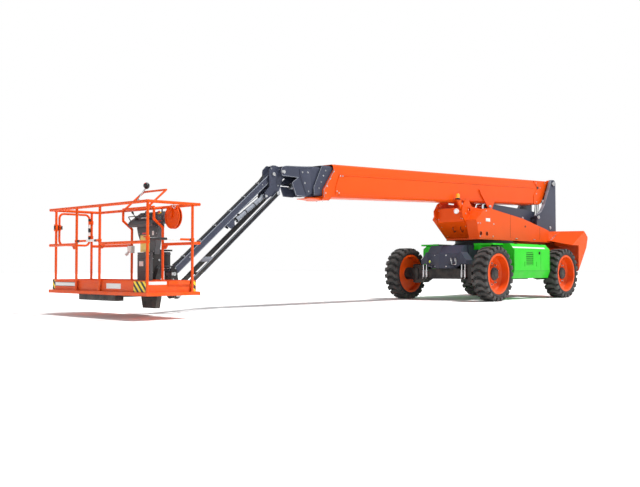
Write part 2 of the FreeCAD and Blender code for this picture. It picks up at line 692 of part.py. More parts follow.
def ram(name, base, eye, barrel, rodRadius, eyeHalf, pinRadius, reach, drawn=0):
    """Barrel and rod of a cylinder; the barrel takes this share of its length, the rod starts drawn out."""
    span = f"sqrt(({eye}_x - {base}_x) ^ 2 + ({eye}_z - {base}_z) ^ 2)"
    end = f"{reach} * {span}"
    baseEye = rod("Y", (0, f"-{eyeHalf}", 0), barrel, f"2 * {eyeHalf}")
    collar = rod("X", (f"{end} - 50", 0, 0), f"{barrel} + 8", 50)
    body = fuse(baseEye, rod("X", (0, 0, 0), barrel, end), collar)
    hole = rod("Y", (0, -300, 0), f"{pinRadius} + 1", 600)
    bore = rod("X", (f"{barrel} + 20", 0, 0), f"{rodRadius} + 6", f"{end} - {barrel} - 90")
    gland = rod("X", (f"{end} - 90", 0, 0), f"{rodRadius} + 1", 200)
    aimed(f"{name}_barrel", cut(body, hole, bore, gland), base, eye)
    foot = f"{barrel} + 40 + {drawn}"
    shaft = rod("X", (foot, 0, 0), rodRadius, f"{span} - ({foot})")
    rodEye = rod("Y", (span, f"-{eyeHalf}", 0), f"{rodRadius} + 12", f"2 * {eyeHalf}")
    aimed(f"{name}_rod", fuse(shaft, rodEye), base, eye)


ram("lift_cylinder", "lift_base", "lift_eye", "lift_barrel", "lift_rod", 70, 38, 0.9)
ram("level_cylinder", "level_base", "level_eye", 42, 22, 38, 20, 0.58, drawn=250)
ram("jib_cylinder", "jib_base", "jib_eye", "jib_barrel", "jib_rod", 34, 20, 0.82)

# ---- knuckle and jib

knucklePlate = slab("XZ", "knuckle_inner", "knuckle_inner + 22", [
    (6330, 2235), (6340, 2300), (6445, 2335), (6560, 2345), (6645, 2270), (6640, 2100), (6640, 1990),
    (6740, 1880), (6750, 1810), (6690, 1778), (6590, 1845), (6520, 1838), (6440, 1850), (6390, 2030),
    (6330, 2150)])
knuckleTop = block((6400, "-knuckle_inner - 5", 2305), (6500, "knuckle_inner + 5", 2330))
knuckleWeb = block((6560, "-knuckle_inner - 5", 1870), (6640, "knuckle_inner + 5", 1950))
knuckleHole = rod("Y", ("knuckle_x", -120, "knuckle_z"), "knuckle_pin + 1", 240)
jibPin = rod("Y", ("jib_x", "-knuckle_inner - 30", "jib_z"), 28, "2 * knuckle_inner + 60")
linkPin = rod("Y", ("link_x", "knuckle_inner", "link_z"), 24, "link_y + link_plate + 6 - knuckle_inner")
jibBasePin = rod("Y", ("jib_base_x", "-knuckle_inner - 26", "jib_base_z"), 20, "2 * knuckle_inner + 52")
node("knuckle", fuse(cut(fuse(bothSides(knucklePlate), knuckleTop, knuckleWeb), knuckleHole), jibPin,
                     bothSides(linkPin), jibBasePin))

jibLength = "sqrt(jib_run ^ 2 + jib_drop ^ 2)"
jibPitch = "atan2(jib_drop; jib_run)"
beam = block((60, "-jib_half", "-jib_depth / 2"), (f"{jibLength} - 60", "jib_half", "jib_depth / 2"))
beamInside = block((140, "6 - jib_half", "8 - jib_depth / 2"),
                   (f"{jibLength} - 140", "jib_half - 6", "jib_depth / 2 - 8"))
beamEnds = [rod("Y", (along, "-jib_half", 0), "jib_depth / 2", "2 * jib_half") for along in (0, jibLength)]
beamNecks = [block((0, "-jib_half", -48), (80, "jib_half", 48)),
             block((f"{jibLength} - 80", "-jib_half", -48), (jibLength, "jib_half", 48))]
beamHoles = [rod("Y", (0, -90, 0), 29, 180), rod("Y", (jibLength, -90, 0), 29, 180)]
eyePlate = slab("XZ", 39, "jib_half", [(1130, -45), (1180, -160), (1270, -160), (1330, -45)])
node("jib_beam", cut(fuse(cut(beam, beamInside), *beamEnds, *beamNecks, bothSides(eyePlate)), *beamHoles),
     ("jib_x", 0, "jib_z"), pitch=jibPitch)

linkBar = block((0, "link_y", -34), (jibLength, "link_y + link_plate", 34))
linkEnds = [rod("Y", (along, "link_y", 0), 38, "link_plate") for along in (0, jibLength)]
linkTie = rod("Y", (f"{jibLength} - 500", "-link_y - 5", 0), 20, "2 * link_y + 10")
linkHoles = [rod("Y", (0, 0, 0), 25, 200), rod("Y", (jibLength, 0, 0), 25, 200)]
oneLink = cut(fuse(linkBar, *linkEnds), *linkHoles)
node("jib_link", fuse(bothSides(oneLink), linkTie), ("link_x", 0, "link_z"), pitch=jibPitch)

# ---- platform support and rotator, drawn about the rotator's axis

beamEnd = ("jib_x + jib_run - rotate_x", "jib_z - jib_drop")
linkEnd = ("link_x + jib_run - rotate_x", "link_z - jib_drop")
supportPlate = slab("XZ", "knuckle_inner", "knuckle_inner + 22", [
    (-165, 600), (-150, 650), (-100, 700), (-20, 700), (-20, "actuator_low"), (-56, 655), (-56, 480),
    (-110, 240), (-140, 215), (-200, 220), (-215, 300)])
beamPin = rod("Y", (beamEnd[0], "-knuckle_inner - 30", beamEnd[1]), 28, "2 * knuckle_inner + 60")
endPin = rod("Y", (linkEnd[0], "knuckle_inner", linkEnd[1]), 24, "link_y + link_plate + 6 - knuckle_inner")
supportWeb = block((-90, "-knuckle_inner - 22", "actuator_low"), (-20, "knuckle_inner + 22", 700))
footWeb = block((-190, "-knuckle_inner - 5", 225), (-150, "knuckle_inner + 5", 250))
actuator = rod("Z", (0, 0, "actuator_low"), "actuator_radius", "actuator_high - actuator_low")
node("platform_support", fuse(bothSides(supportPlate), beamPin, bothSides(endPin), supportWeb, footWeb,
                              actuator), ("rotate_x", 0, 0))

platformRear = "rear_x - rotate_x"
bracketTop = slab("XZ", -90, 90, [
    (-70, "actuator_high + 10"), (-70, "actuator_high + 34"), (150, "actuator_high + 34"), (210, 860),
    (platformRear, 860), (platformRear, "floor_bottom"), (220, "floor_bottom"), (105, 560),
    (105, "actuator_high + 10")])
bracketFoot = block((-45, -45, 625), (110, 45, 650))
bracketBase = slab("YZ", 250, 330, [
    (-100, "floor_bottom"), (-100, 250), (-60, 100), (240, 100), (280, 250), (280, "floor_bottom")])
bracketSpine = block((320, 40, 270), (990, 190, "floor_bottom"))
bracketBeam = block((980, -450, 230), (1110, 450, "floor_bottom"))
node("rotator_bracket", fuse(bracketTop, bracketFoot, bracketBase, bracketSpine, bracketBeam),
     ("rotate_x", 0, 0))

# ---- platform


def alongX(y, z, radius="rail_radius", start="rear_x", end="front_x"):
    return rod("X", (start, y, z), radius, f"({end}) - ({start})")


def alongY(x, z, radius="rail_radius", start="-platform_half", end="platform_half"):
    return rod("Y", (x, start, z), radius, f"({end}) - ({start})")


def post(x, y, top="top_rail", foot="floor_top"):
    return rod("Z", (x, y, foot), "post_radius", f"({top}) - ({foot})")


def tray(low, high, inset, sheet):
    """A rectangular ring of sheet, as wide as the platform less an inset."""
    outer = block((f"rear_x + {inset}", f"{inset} - platform_half", low),
                  (f"front_x - {inset}", f"platform_half - {inset}", high))
    edge = f"({inset} + {sheet})"
    inner = block((f"rear_x + {edge}", f"{edge} - platform_half", f"{low} - 10"),
                  (f"front_x - {edge}", f"platform_half - {edge}", f"{high} + 10"))
    return cut(outer, inner)


floorSheet = block(("rear_x + 5", "5 - platform_half", "floor_top - 6"),
                   ("front_x - 5", "platform_half - 5", "floor_top"))
floorEdge = tray("floor_bottom", "floor_top", 0, 42)
floorRibs = [block(("rear_x + 30", f"{side} - 25", "floor_bottom"),
                   ("front_x - 30", f"{side} + 25", "floor_top")) for side in (-800, -400, 0, 400, 800)]
toeBoard = tray("floor_top - 3", "toe_top", "toe_inset", "toe_sheet")
node("platform_floor", fuse(floorSheet, floorEdge, *floorRibs, toeBoard))

farSide = "20 - platform_half"
nearSide = "platform_half - 20"
rearSide = "rear_x + 20"
frontSide = "front_x - 20"
nearPost = "rear_x + 120"
gateRear = "rear_x + 160"
gateFront = "front_x - 100"
rails = [alongY(rearSide, "top_rail"), alongY(rearSide, "mid_rail", end="guard_right"),
         alongY(rearSide, "mid_rail", start="guard_left"), alongX(nearSide, "top_rail", start="rear_x + 5"),
         alongY(frontSide, "top_rail"), alongY(frontSide, "mid_rail", end="entry_right"),
         alongY(frontSide, "mid_rail", start="entry_left"), alongX(farSide, "top_rail"),
         alongX(farSide, "mid_rail", end=gateRear), alongX(farSide, "mid_rail", start=gateFront),
         alongX(nearSide, "mid_rail", end=nearPost),
         alongY("rear_x + 20 + guard_reach", "top_rail", start="guard_right", end="guard_left")]
posts = [post(rearSide, farSide), post(nearPost, nearSide)]
posts += [post(frontSide, y) for y in ("entry_right", "entry_left", nearSide)]
posts += [post(x, farSide) for x in (gateRear, gateFront)]
guards = []
for side in ("guard_right", "guard_left"):
    reach = f"{rearSide} + guard_reach"
    guards.append(bentBar([
        (rearSide, side, "floor_top"), (rearSide, side, "guard_low"), (reach, side, "guard_high"),
        (reach, side, "top_rail - 20"), (rearSide, side, "top_rail")], "post_radius"))
lean = f"{rearSide} - hoop_lean"
hoop = bentBar([
    (reach, "hoop_right", "top_rail"), (lean, "hoop_right", "hoop_top"), (lean, "hoop_left", "hoop_top"),
    (reach, "hoop_left", "top_rail")], 15)
node("platform_rails", fuse(*rails, *posts, *guards, hoop))


def sleeve(x, y, z, length=40):
    """A short tube that runs on a post."""
    shell = rod("Z", (x, y, z), "post_radius + 8", length)
    return cut(shell, rod("Z", (x, y, f"({z}) - 5"), "post_radius + 2", length + 10))


gateBars = [rod("X", ("40 + gate_corner", 0, level), 16, "gate_run - 2 * gate_corner")
            for level in (0, "gate_rise")]
gateBars += [rod("Z", (along, 0, "gate_corner"), 16, "gate_rise - 2 * gate_corner")
             for along in (40, "40 + gate_run")]
gateCorners = [
    elbow(("40 + gate_run - gate_corner", 0, "gate_rise - gate_corner"), 0, "gate_corner", 16),
    elbow(("40 + gate_corner", 0, "gate_rise - gate_corner"), 1, "gate_corner", 16),
    elbow(("40 + gate_corner", 0, "gate_corner"), 2, "gate_corner", 16),
    elbow(("40 + gate_run - gate_corner", 0, "gate_corner"), 3, "gate_corner", 16)]
gateSleeves = [fuse(sleeve(0, 0, level - 25, 50), rod("X", (22, 0, level), 10, 24)) for level in (120, 345)]
latch = block(("40 + gate_run - 10", -14, 210), ("40 + gate_run + 14", 34, 290))
node("gate", fuse(*gateBars, *gateCorners, *gateSleeves, latch), (gateRear, farSide, "gate_foot"))

barLevel = "mid_rail + 44"
sleeveLevel = "mid_rail + 24"
frontBar = alongY(frontSide, barLevel, 15, start="entry_right + 22", end="entry_left - 22")
frontSleeves = [sleeve(frontSide, y, sleeveLevel) for y in ("entry_right", "entry_left")]
node("front_entry_bar", fuse(frontBar, *frontSleeves))
sideBar = alongX(nearSide, barLevel, 15, start=f"{nearPost} + 22", end=f"{frontSide} - 22")
node("side_entry_bar", fuse(sideBar, *[sleeve(x, nearSide, sleeveLevel) for x in (nearPost, frontSide)]))

consoleTray = slab("XZ", -290, 300, [
    ("rear_x - 120", 1290), ("rear_x + 100", 1245), ("rear_x + 125", 1285), ("rear_x + 105", 1325),
    ("rear_x - 95", 1465), ("rear_x - 120", 1455)])
consoleBody = slab("YZ", "rear_x - 90", "rear_x - 5", [
    (-265, 1285), (270, 1285), (250, 1150), (180, 861), (-70, 861), (-225, 1150)])
consoleBox = block(("rear_x + 50", -80, "floor_top"), ("rear_x + 100", 220, 885))
consoleStay = block(("rear_x - 15", -40, 865), ("rear_x + 60", 150, 885))
node("control_console", fuse(consoleTray, consoleBody, consoleBox, consoleStay))
reelX = "rear_x - 75"
reelDiscs = [rod("X", (f"{reelX} + {step}", 560, 1370), radius, wide)
             for step, radius, wide in ((0, 165, 12), (12, 70, 30), (42, 165, 12))]
reelStrap = block((f"{reelX} + 50", 540, 1350), (f"{rearSide} - 20", 580, 1515))
node("cable_reel", fuse(*reelDiscs, reelStrap))

doc.recompute()
faults = [item.Label for item in doc.Objects if {"Invalid", "Error"} & set(item.State)]
faults += [item.Label for item in nodes if item.Shape.isNull() or not item.Shape.isValid()]
if faults:
    raise RuntimeError("these did not build: " + ", ".join(faults))
os.makedirs("parts", exist_ok=True)
for item in nodes:
    item.Shape.exportStep(f"parts/{item.Label}.step")
print(len(nodes), "sub-parts written")
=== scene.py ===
import math

import bmesh
import bpy
from mathutils import Matrix, Vector


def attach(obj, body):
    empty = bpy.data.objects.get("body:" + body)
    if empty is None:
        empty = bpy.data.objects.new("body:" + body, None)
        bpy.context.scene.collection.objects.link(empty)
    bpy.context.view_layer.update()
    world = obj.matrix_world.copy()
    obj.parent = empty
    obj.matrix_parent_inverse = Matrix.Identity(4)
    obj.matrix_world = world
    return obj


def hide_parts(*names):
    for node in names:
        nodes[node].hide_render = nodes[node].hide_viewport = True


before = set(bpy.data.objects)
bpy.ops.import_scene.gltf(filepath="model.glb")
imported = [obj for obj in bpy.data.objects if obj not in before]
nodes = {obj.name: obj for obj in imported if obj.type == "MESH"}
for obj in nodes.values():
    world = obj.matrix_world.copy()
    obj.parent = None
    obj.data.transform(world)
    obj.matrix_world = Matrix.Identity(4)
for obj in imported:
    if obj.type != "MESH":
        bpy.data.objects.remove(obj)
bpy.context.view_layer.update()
scene = bpy.context.scene
print("frame loaded:", len(nodes), "nodes")

# the slewing axis stands this far from the frame's origin, and every place on the machine counts from it
slewAxis = -3.395
wheels = {"radius": 0.55, "axle": 1.45, "side": 1.085}
boomSlope = math.radians(2.3)
boomPivot = (slewAxis - 2.58, 2.72)


def spot(x, y, z):
    return Vector((slewAxis + x, y, z))


def boomSpot(along, y, up):
    flat = math.cos(boomSlope) * along + math.sin(boomSlope) * up
    rise = -math.sin(boomSlope) * along + math.cos(boomSlope) * up
    return Vector((boomPivot[0] + flat, y, boomPivot[1] + rise))


# camera, floor and light

camera = {"place": (12.248, 9.666, 0.66), "yaw": 223.2, "pitch": 1.76, "lens": 45.48, "sensor": 36.0}
studio = {
    "floorSize": 160.0,
    "floorColour": (0.93, 0.93, 0.92, 1.0),
    "walls": (1.0, 1.0, 1.0, 1.0),
    "ceiling": (0.30, 0.31, 0.33, 1.0),
    "ceilingFoot": 0.36,
    "sun": {"strength": 4.2, "angle": 8.0, "turn": (-22.0, -18.0, 0.0)},
    "fill": {"power": 40.0, "size": 9.0, "place": (10.0, 12.0, 9.0)},
}


def makeCamera(settings):
    yaw, pitch = math.radians(settings["yaw"]), math.radians(settings["pitch"])
    gaze = Vector((math.cos(yaw) * math.cos(pitch), math.sin(yaw) * math.cos(pitch), math.sin(pitch)))
    data = bpy.data.cameras.new("camera")
    data.lens, data.sensor_width = settings["lens"], settings["sensor"]
    data.clip_end = 300.0
    made = bpy.data.objects.new("camera", data)
    made.location = settings["place"]
    made.rotation_mode = "QUATERNION"
    made.rotation_quaternion = gaze.to_track_quat("-Z", "Y")
    scene.collection.objects.link(made)
    scene.camera = made


def makeLight(name, kind, energy, place, target=None, turn=None, **settings):
    data = bpy.data.lights.new(name, kind)
    data.energy = energy
    for key, value in settings.items():
        setattr(data, key, value)
    made = bpy.data.objects.new(name, data)
    made.location = place
    if target is not None:
        made.rotation_euler = (Vector(target) - Vector(place)).to_track_quat("-Z", "Y").to_euler()
    if turn is not None:
        made.rotation_euler = [math.radians(angle) for angle in turn]
    scene.collection.objects.link(made)


makeCamera(camera)
makeLight("sun", "SUN", studio["sun"]["strength"], (0, 0, 20), turn=studio["sun"]["turn"],
          angle=math.radians(studio["sun"]["angle"]))
makeLight("fill", "AREA", studio["fill"]["power"], studio["fill"]["place"], target=(0, 0, 1),
          size=studio["fill"]["size"])
scene.view_settings.view_transform = "Standard"
print("camera and light set")


# shader sums

class Wire:
    def __init__(self, tree, socket):
        self.tree, self.socket = tree, socket

    def sums(self, operation, *values, clamp=False):
        settings = {"operation": operation, "use_clamp": clamp}
        return addNode(self.tree, "ShaderNodeMath", settings, dict(enumerate(values)))

    def __add__(self, other):
        return self.sums("ADD", self, other)

    def __sub__(self, other):
        return self.sums("SUBTRACT", self, other)

    def __rsub__(self, other):
        return self.sums("SUBTRACT", other, self)

    def __mul__(self, other):
        return self.sums("MULTIPLY", self, other)

    def __truediv__(self, other):
        return self.sums("DIVIDE", self, other)

    def over(self, level):
        return self.sums("GREATER_THAN", self, level)

    def held(self):
        return self.sums("ADD", self, 0.0, clamp=True)


def addNode(tree, kind, settings=None, inputs=None, output=0):
    node = tree.nodes.new(kind)
    for name, value in (settings or {}).items():
        setattr(node, name, value)
    for name, value in (inputs or {}).items():
        if isinstance(value, Wire):
            tree.links.new(value.socket, node.inputs[name])
        else:
            node.inputs[name].default_value = value
    return Wire(tree, node.outputs[output])


def mixed(tree, factor, first, second):
    chosen = {"data_type": "RGBA", "clamp_factor": True}
    return addNode(tree, "ShaderNodeMix", chosen, {0: factor, 6: first, 7: second}, output=2)


def makeWorld(settings):
    # pale walls all round and a dimmer ceiling
    world = bpy.data.worlds.new("studio")
    world.use_nodes = True
    tree = world.node_tree
    height = axisOf(tree, addNode(tree, "ShaderNodeTexCoord"), "Z")
    share = ((height - settings["ceilingFoot"]) * 6.0).held()
    sky = mixed(tree, share, settings["walls"], settings["ceiling"])
    tree.links.new(sky.socket, tree.nodes["Background"].inputs["Color"])
    scene.world = world


def places(tree):
    return addNode(tree, "ShaderNodeTexCoord", output=3)


def axisOf(tree, wire, name):
    return addNode(tree, "ShaderNodeSeparateXYZ", inputs={0: wire}, output="XYZ".index(name))


makeWorld(studio)


def noise(tree, where, scale, detail=3.0, roughness=0.55):
    sizes = {"Vector": where, "Scale": scale, "Detail": detail, "Roughness": roughness}
    return addNode(tree, "ShaderNodeTexNoise", inputs=sizes)


def newMaterial(name):
    material = bpy.data.materials.new(name)
    material.use_nodes = True
    tree = material.node_tree
    return material, tree, tree.nodes["Principled BSDF"], places(tree)


def feed(tree, shader, **inputs):
    for name, value in inputs.items():
        socket = shader.inputs[name.replace("_", " ")]
        if isinstance(value, Wire):
            tree.links.new(value.socket, socket)
        else:
            socket.default_value = value


def bumped(tree, height, strength, distance):
    return addNode(tree, "ShaderNodeBump",
                   inputs={"Height": height, "Strength": strength, "Distance": distance})


def tone(colour, factor):
    return tuple(min(1.0, channel * factor) for channel in colour[:3]) + (1.0,)


# finishes

paints = {
    "orange": {"colour": (0.74, 0.078, 0.002, 1), "rough": 0.40, "coat": 0.03, "shade": 0.84, "dust": 0.08},
    "slate": {"colour": (0.046, 0.052, 0.080, 1), "rough": 0.40, "coat": 0.12, "shade": 0.74, "dust": 0.08},
    "green": {"colour": (0.016, 0.56, 0.010, 1), "rough": 0.38, "coat": 0.10, "shade": 0.84, "dust": 0.08},
    "black": {"colour": (0.014, 0.014, 0.016, 1), "rough": 0.45, "coat": 0.10, "shade": 0.60, "dust": 0.14},
    "ash": {"colour": (0.240, 0.260, 0.300, 1), "rough": 0.42, "coat": 0.05, "shade": 0.80, "dust": 0.04},
    "charcoal": {"colour": (0.040, 0.043, 0.052, 1), "rough": 0.48, "coat": 0.0, "shade": 0.75,
                 "dust": 0.12},
}
dustColour = (0.34, 0.30, 0.25, 1.0)


def makePaint(name, colour, rough, coat, shade, dust):
    material, tree, shader, where = newMaterial(name)
    broad = noise(tree, where, 1.3)
    fine = noise(tree, where, 38.0, 4.0)
    peel = noise(tree, where, 260.0, 1.0)
    height = axisOf(tree, where, "Z")
    low = (1.0 - height / 1.1).held()
    settled = (low * (noise(tree, where, 5.0, 5.0) - 0.35) * 2.2).held() * dust * 3.0
    base = mixed(tree, (broad - 0.4).held() * 1.4, colour, tone(colour, shade))
    speckled = mixed(tree, (fine - 0.62).held() * 0.9, base, tone(colour, 1.25))
    grimed = mixed(tree, settled, speckled, dustColour)
    feed(tree, shader, Base_Color=grimed, Roughness=fine * 0.12 + rough - 0.06 + settled * 0.4,
         Normal=bumped(tree, peel, 0.05, 0.0006))
    shader.inputs["Coat Weight"].default_value = coat
    shader.inputs["Coat Roughness"].default_value = 0.12
    shader.inputs["Specular IOR Level"].default_value = 0.16
    return material


metals = {
    "chrome": {"colour": (0.78, 0.80, 0.82, 1), "rough": 0.10, "scratch": 0.05},
    "zinc": {"colour": (0.52, 0.53, 0.54, 1), "rough": 0.34, "scratch": 0.16},
    "iron": {"colour": (0.050, 0.050, 0.054, 1), "rough": 0.52, "scratch": 0.20},
}


def makeMetal(name, colour, rough, scratch):
    material, tree, shader, where = newMaterial(name)
    streaks = noise(tree, where, 90.0, 5.0, 0.7)
    patches = noise(tree, where, 6.0)
    feed(tree, shader, Base_Color=mixed(tree, (patches - 0.45).held() * 1.6, colour, tone(colour, 0.72)),
         Roughness=streaks * scratch + rough - scratch / 2, Normal=bumped(tree, streaks, 0.08, 0.0008))
    shader.inputs["Metallic"].default_value = 1.0
    return material


# two rubbers of one tyre: the darker carcass rubber is painted shade in the gaps between the bars, and the
# lighter tread rubber is painted light on the bars; the worn colours are patches of wear
rubbers = {
    "tyre": {"colour": (0.020, 0.020, 0.020, 1), "worn": (0.055, 0.052, 0.050, 1), "rough": 0.80},
    "tread": {"colour": (0.040, 0.039, 0.038, 1), "worn": (0.110, 0.105, 0.098, 1), "rough": 0.74},
}


def makeRubber(name, colour, worn, rough):
    material, tree, shader, where = newMaterial(name)
    patches = noise(tree, where, 4.0, 5.0, 0.65)
    grains = noise(tree, where, 150.0, 3.0)
    faded = ((patches - 0.42) * 3.0).held() * 0.75
    feed(tree, shader, Base_Color=mixed(tree, faded, colour, worn), Roughness=grains * 0.15 + rough - 0.05,
         Normal=bumped(tree, grains + patches, 0.22, 0.0012))
    return material


plastics = {
    "console": {"colour": (0.055, 0.058, 0.064, 1), "rough": 0.52, "grain": 420.0},
    "button": {"colour": (0.008, 0.008, 0.009, 1), "rough": 0.35, "grain": 500.0},
    "buttonRed": {"colour": (0.62, 0.010, 0.008, 1), "rough": 0.30, "grain": 500.0},
    "buttonYellow": {"colour": (0.80, 0.46, 0.015, 1), "rough": 0.30, "grain": 500.0},
    "pale": {"colour": (0.72, 0.72, 0.70, 1), "rough": 0.42, "grain": 300.0},
    "yellowPlate": {"colour": (0.78, 0.62, 0.16, 1), "rough": 0.45, "grain": 300.0},
    "reflector": {"colour": (0.62, 0.80, 0.05, 1), "rough": 0.20, "grain": 160.0},
    "hose": {"colour": (0.016, 0.016, 0.017, 1), "rough": 0.60, "grain": 260.0},
}


def makePlastic(name, colour, rough, grain):
    material, tree, shader, where = newMaterial(name)
    texture = noise(tree, where, grain, 2.0)
    cloud = noise(tree, where, 3.0)
    feed(tree, shader, Base_Color=mixed(tree, (cloud - 0.4).held(), colour, tone(colour, 0.78)),
         Roughness=texture * 0.12 + rough - 0.05, Normal=bumped(tree, texture, 0.10, 0.0005))
    return material


lenses = {
    "amber": {"colour": (0.95, 0.34, 0.01, 1), "lampAndPaintedGlow": 0.25},
    "lampGlass": {"colour": (0.90, 0.92, 0.95, 1), "lampAndPaintedGlow": 0.15},
    # the red lens glows although the tail reflectors and the sensor it covers are no lamps: painted glow
    "redLens": {"colour": (0.60, 0.01, 0.01, 1), "lampAndPaintedGlow": 0.10},
}


def makeLens(name, colour, lampAndPaintedGlow):
    material, tree, shader, where = newMaterial(name)
    ribs = addNode(tree, "ShaderNodeTexWave", {"bands_direction": "Z"}, {"Vector": where, "Scale": 60.0},
                   output=1)
    feed(tree, shader, Base_Color=mixed(tree, ribs * 0.35, colour, tone(colour, 0.55)),
         Roughness=ribs * 0.1 + 0.08, Normal=bumped(tree, ribs, 0.3, 0.001))
    # emission: the lamp's own glow on the beacon and the work lamp, and a painted glow on the red lens
    shader.inputs["Emission Color"].default_value = colour
    shader.inputs["Emission Strength"].default_value = lampAndPaintedGlow
    shader.inputs["Coat Weight"].default_value = 0.6
    return material


hazard = {"yellow": (0.86, 0.62, 0.02, 1), "black": (0.012, 0.012, 0.012, 1), "pitch": 0.10}


def makeHazard(name, yellow, black, pitch):
    material, tree, shader, where = newMaterial(name)
    slant = axisOf(tree, where, "Z") + axisOf(tree, where, "Y") - axisOf(tree, where, "X")
    band = (slant / pitch).sums("FRACT", slant / pitch).over(0.5)
    fine = noise(tree, where, 60.0, 4.0)
    feed(tree, shader, Base_Color=mixed(tree, band, yellow, black), Roughness=fine * 0.15 + 0.38,
         Normal=bumped(tree, fine, 0.05, 0.0005))
    return material


finish = {name: makePaint(name, **settings) for name, settings in paints.items()}
finish.update({name: makeMetal(name, **settings) for name, settings in metals.items()})
finish.update({name: makePlastic(name, **settings) for name, settings in plastics.items()})
finish.update({name: makeLens(name, **settings) for name, settings in lenses.items()})
finish.update({name: makeRubber(name, **settings) for name, settings in rubbers.items()})
finish["hazard"] = makeHazard("hazard", **hazard)
print("finishes made:", len(finish))

# which finish each node of the frame takes
wears = {
    "orange": ["turntable_frame", "front_cover", "side_housings", "counterweight", "base_boom",
               "platform_rails", "platform_floor", "gate", "front_entry_bar", "side_entry_bar",
               "cable_reel"]
    + ["rim_" + end + "_" + side for end in ("front", "rear") for side in ("left", "right")],
    "slate": ["chassis_frame", "mast", "mid_boom", "fly_boom", "jib_beam", "lift_cylinder_barrel",
              "knuckle"],
    "green": ["side_covers"],
    "black": ["front_axle", "left_knuckle", "right_knuckle", "rear_axle", "battery_packs", "jib_link",
              "rotator_bracket", "platform_support"],
    "ash": ["level_cylinder_barrel", "jib_cylinder_barrel"],
    "iron": ["slewing_ring", "steering_rod"],
    "chrome": ["lift_cylinder_rod", "level_cylinder_rod", "jib_cylinder_rod"],
    "tyre": ["tyre_" + end + "_" + side for end in ("front", "rear") for side in ("left", "right")],
    "console": ["control_console"],
    "amber": ["lights"],
}


def dress(piece, material):
    piece.data.materials.clear()
    piece.data.materials.append(material)


for colourName, members in wears.items():
    for nodeName in members:
        dress(nodes[nodeName], finish[colourName])
print("nodes dressed")


def makeFloor(size, colour):
    material, tree, shader, where = newMaterial("floorCover")
    mottle = noise(tree, where, 0.6)
    feed(tree, shader, Base_Color=mixed(tree, mottle * 0.05, colour, tone(colour, 0.9)), Roughness=0.85)
    shape = bmesh.new()
    bmesh.ops.create_grid(shape, x_segments=1, y_segments=1, size=size / 2)
    data = bpy.data.meshes.new("floor")
    shape.to_mesh(data)
    made = bpy.data.objects.new("floor", data)
    data.materials.append(material)
    scene.collection.objects.link(made)


makeFloor(studio["floorSize"], studio["floorColour"])


# shaping helpers

def soften(shape, verts, width, segments=2):
    edges = list({edge for vert in verts for edge in vert.link_edges})
    bmesh.ops.bevel(shape, geom=edges, offset=width, segments=segments, profile=0.5, affect="EDGES",
                    material=-1, clamp_overlap=True)


def addBlock(shape, low, high, edge=0.0, turn=None):
    low, high = Vector(low), Vector(high)
    verts = bmesh.ops.create_cube(shape, size=1.0)["verts"]
    bmesh.ops.scale(shape, verts=verts, vec=high - low)
    if turn is not None:
        bmesh.ops.transform(shape, verts=verts, matrix=turn.to_4x4())
    bmesh.ops.translate(shape, verts=verts, vec=(low + high) / 2)
    if edge:
        soften(shape, verts, edge)
    return verts


def addRod(shape, start, end, radius, endRadius=None, sides=20, edge=0.0):
    start, end = Vector(start), Vector(end)
    aim = (end - start).to_track_quat("Z", "Y").to_matrix().to_4x4()
    verts = bmesh.ops.create_cone(shape, cap_ends=True, cap_tris=False, segments=sides, radius1=radius,
                                  radius2=radius if endRadius is None else endRadius,
                                  depth=(end - start).length,
                                  matrix=Matrix.Translation((start + end) / 2) @ aim)["verts"]
    if edge:
        edges = {item for vert in verts for item in vert.link_edges}
        rims = [item for item in edges if any(len(face.verts) > 4 for face in item.link_faces)]
        bmesh.ops.bevel(shape, geom=rims, offset=edge, segments=2, profile=0.5, affect="EDGES", material=-1,
                        clamp_overlap=True)
    return verts


def addStud(shape, foot, reach, radius, sides, edge=0.0):
    # a rod given by its foot and the vector to its other end
    addRod(shape, foot, foot + Vector(reach), radius, sides=sides, edge=edge)


def addCase(shape, middle, below, above, edge=0.0, turn=None):
    # a block given by how far it reaches below and above one place
    addBlock(shape, middle - Vector(below), middle + Vector(above), edge, turn)


def addTurned(shape, profile, centre, axis=(0, 1, 0), sides=64):
    # profile points are (radius, distance along the axis) and are spun once round
    axis, centre = Vector(axis), Vector(centre)
    side = axis.orthogonal().normalized()
    verts = [bmesh.ops.create_vert(shape, co=centre + side * radius + axis * along)["vert"][0]
             for radius, along in profile]
    edges = [shape.edges.new(pair) for pair in zip(verts, verts[1:])]
    bmesh.ops.spin(shape, geom=verts + edges, cent=centre, axis=axis, angle=math.tau, steps=sides,
                   use_merge=True)


def addRing(shape, radii, ends, centre, axis, sides=64):
    # a plain ring between two radii and two distances along the axis
    (inner, outer), (low, high) = radii, ends
    addTurned(shape, [(inner, low), (outer, low), (outer, high), (inner, high), (inner, low)], centre, axis,
              sides)


def addPlate(shape, corners, depth, edge=0.0):
    # corners are places in one plane, and depth is the vector the outline is pushed through
    verts = [bmesh.ops.create_vert(shape, co=Vector(corner))["vert"][0] for corner in corners]
    face = bmesh.ops.contextual_create(shape, geom=verts)["faces"][0]
    pushed = bmesh.ops.extrude_face_region(shape, geom=[face])["geom"]
    moved = [item for item in pushed if isinstance(item, bmesh.types.BMVert)]
    bmesh.ops.translate(shape, verts=moved, vec=Vector(depth))
    bmesh.ops.recalc_face_normals(shape, faces=shape.faces)
    if edge:
        soften(shape, verts + moved, edge)
    return verts + moved


def addBead(shape, row, radius, sides=8):
    # short rods from each place of the row to the next
    for start, end in zip(row, row[1:]):
        addRod(shape, start, end, radius, sides=sides)


def addBolt(shape, place, axis, size=0.012, tall=0.009):
    # a hexagon head on a washer
    place, axis = Vector(place), Vector(axis).normalized()
    addStud(shape, place, axis * tall * 0.25, size * 1.35, 16)
    addRod(shape, place + axis * tall * 0.25, place + axis * tall, size, size * 0.93, sides=6)


def addBoltRow(shape, places, side, out, size, tall, placer=spot):
    # bolts on an upright face that stands out to one side of the middle plane
    for first, second in places:
        addBolt(shape, placer(first, side * out, second), (0, side, 0), size, tall)


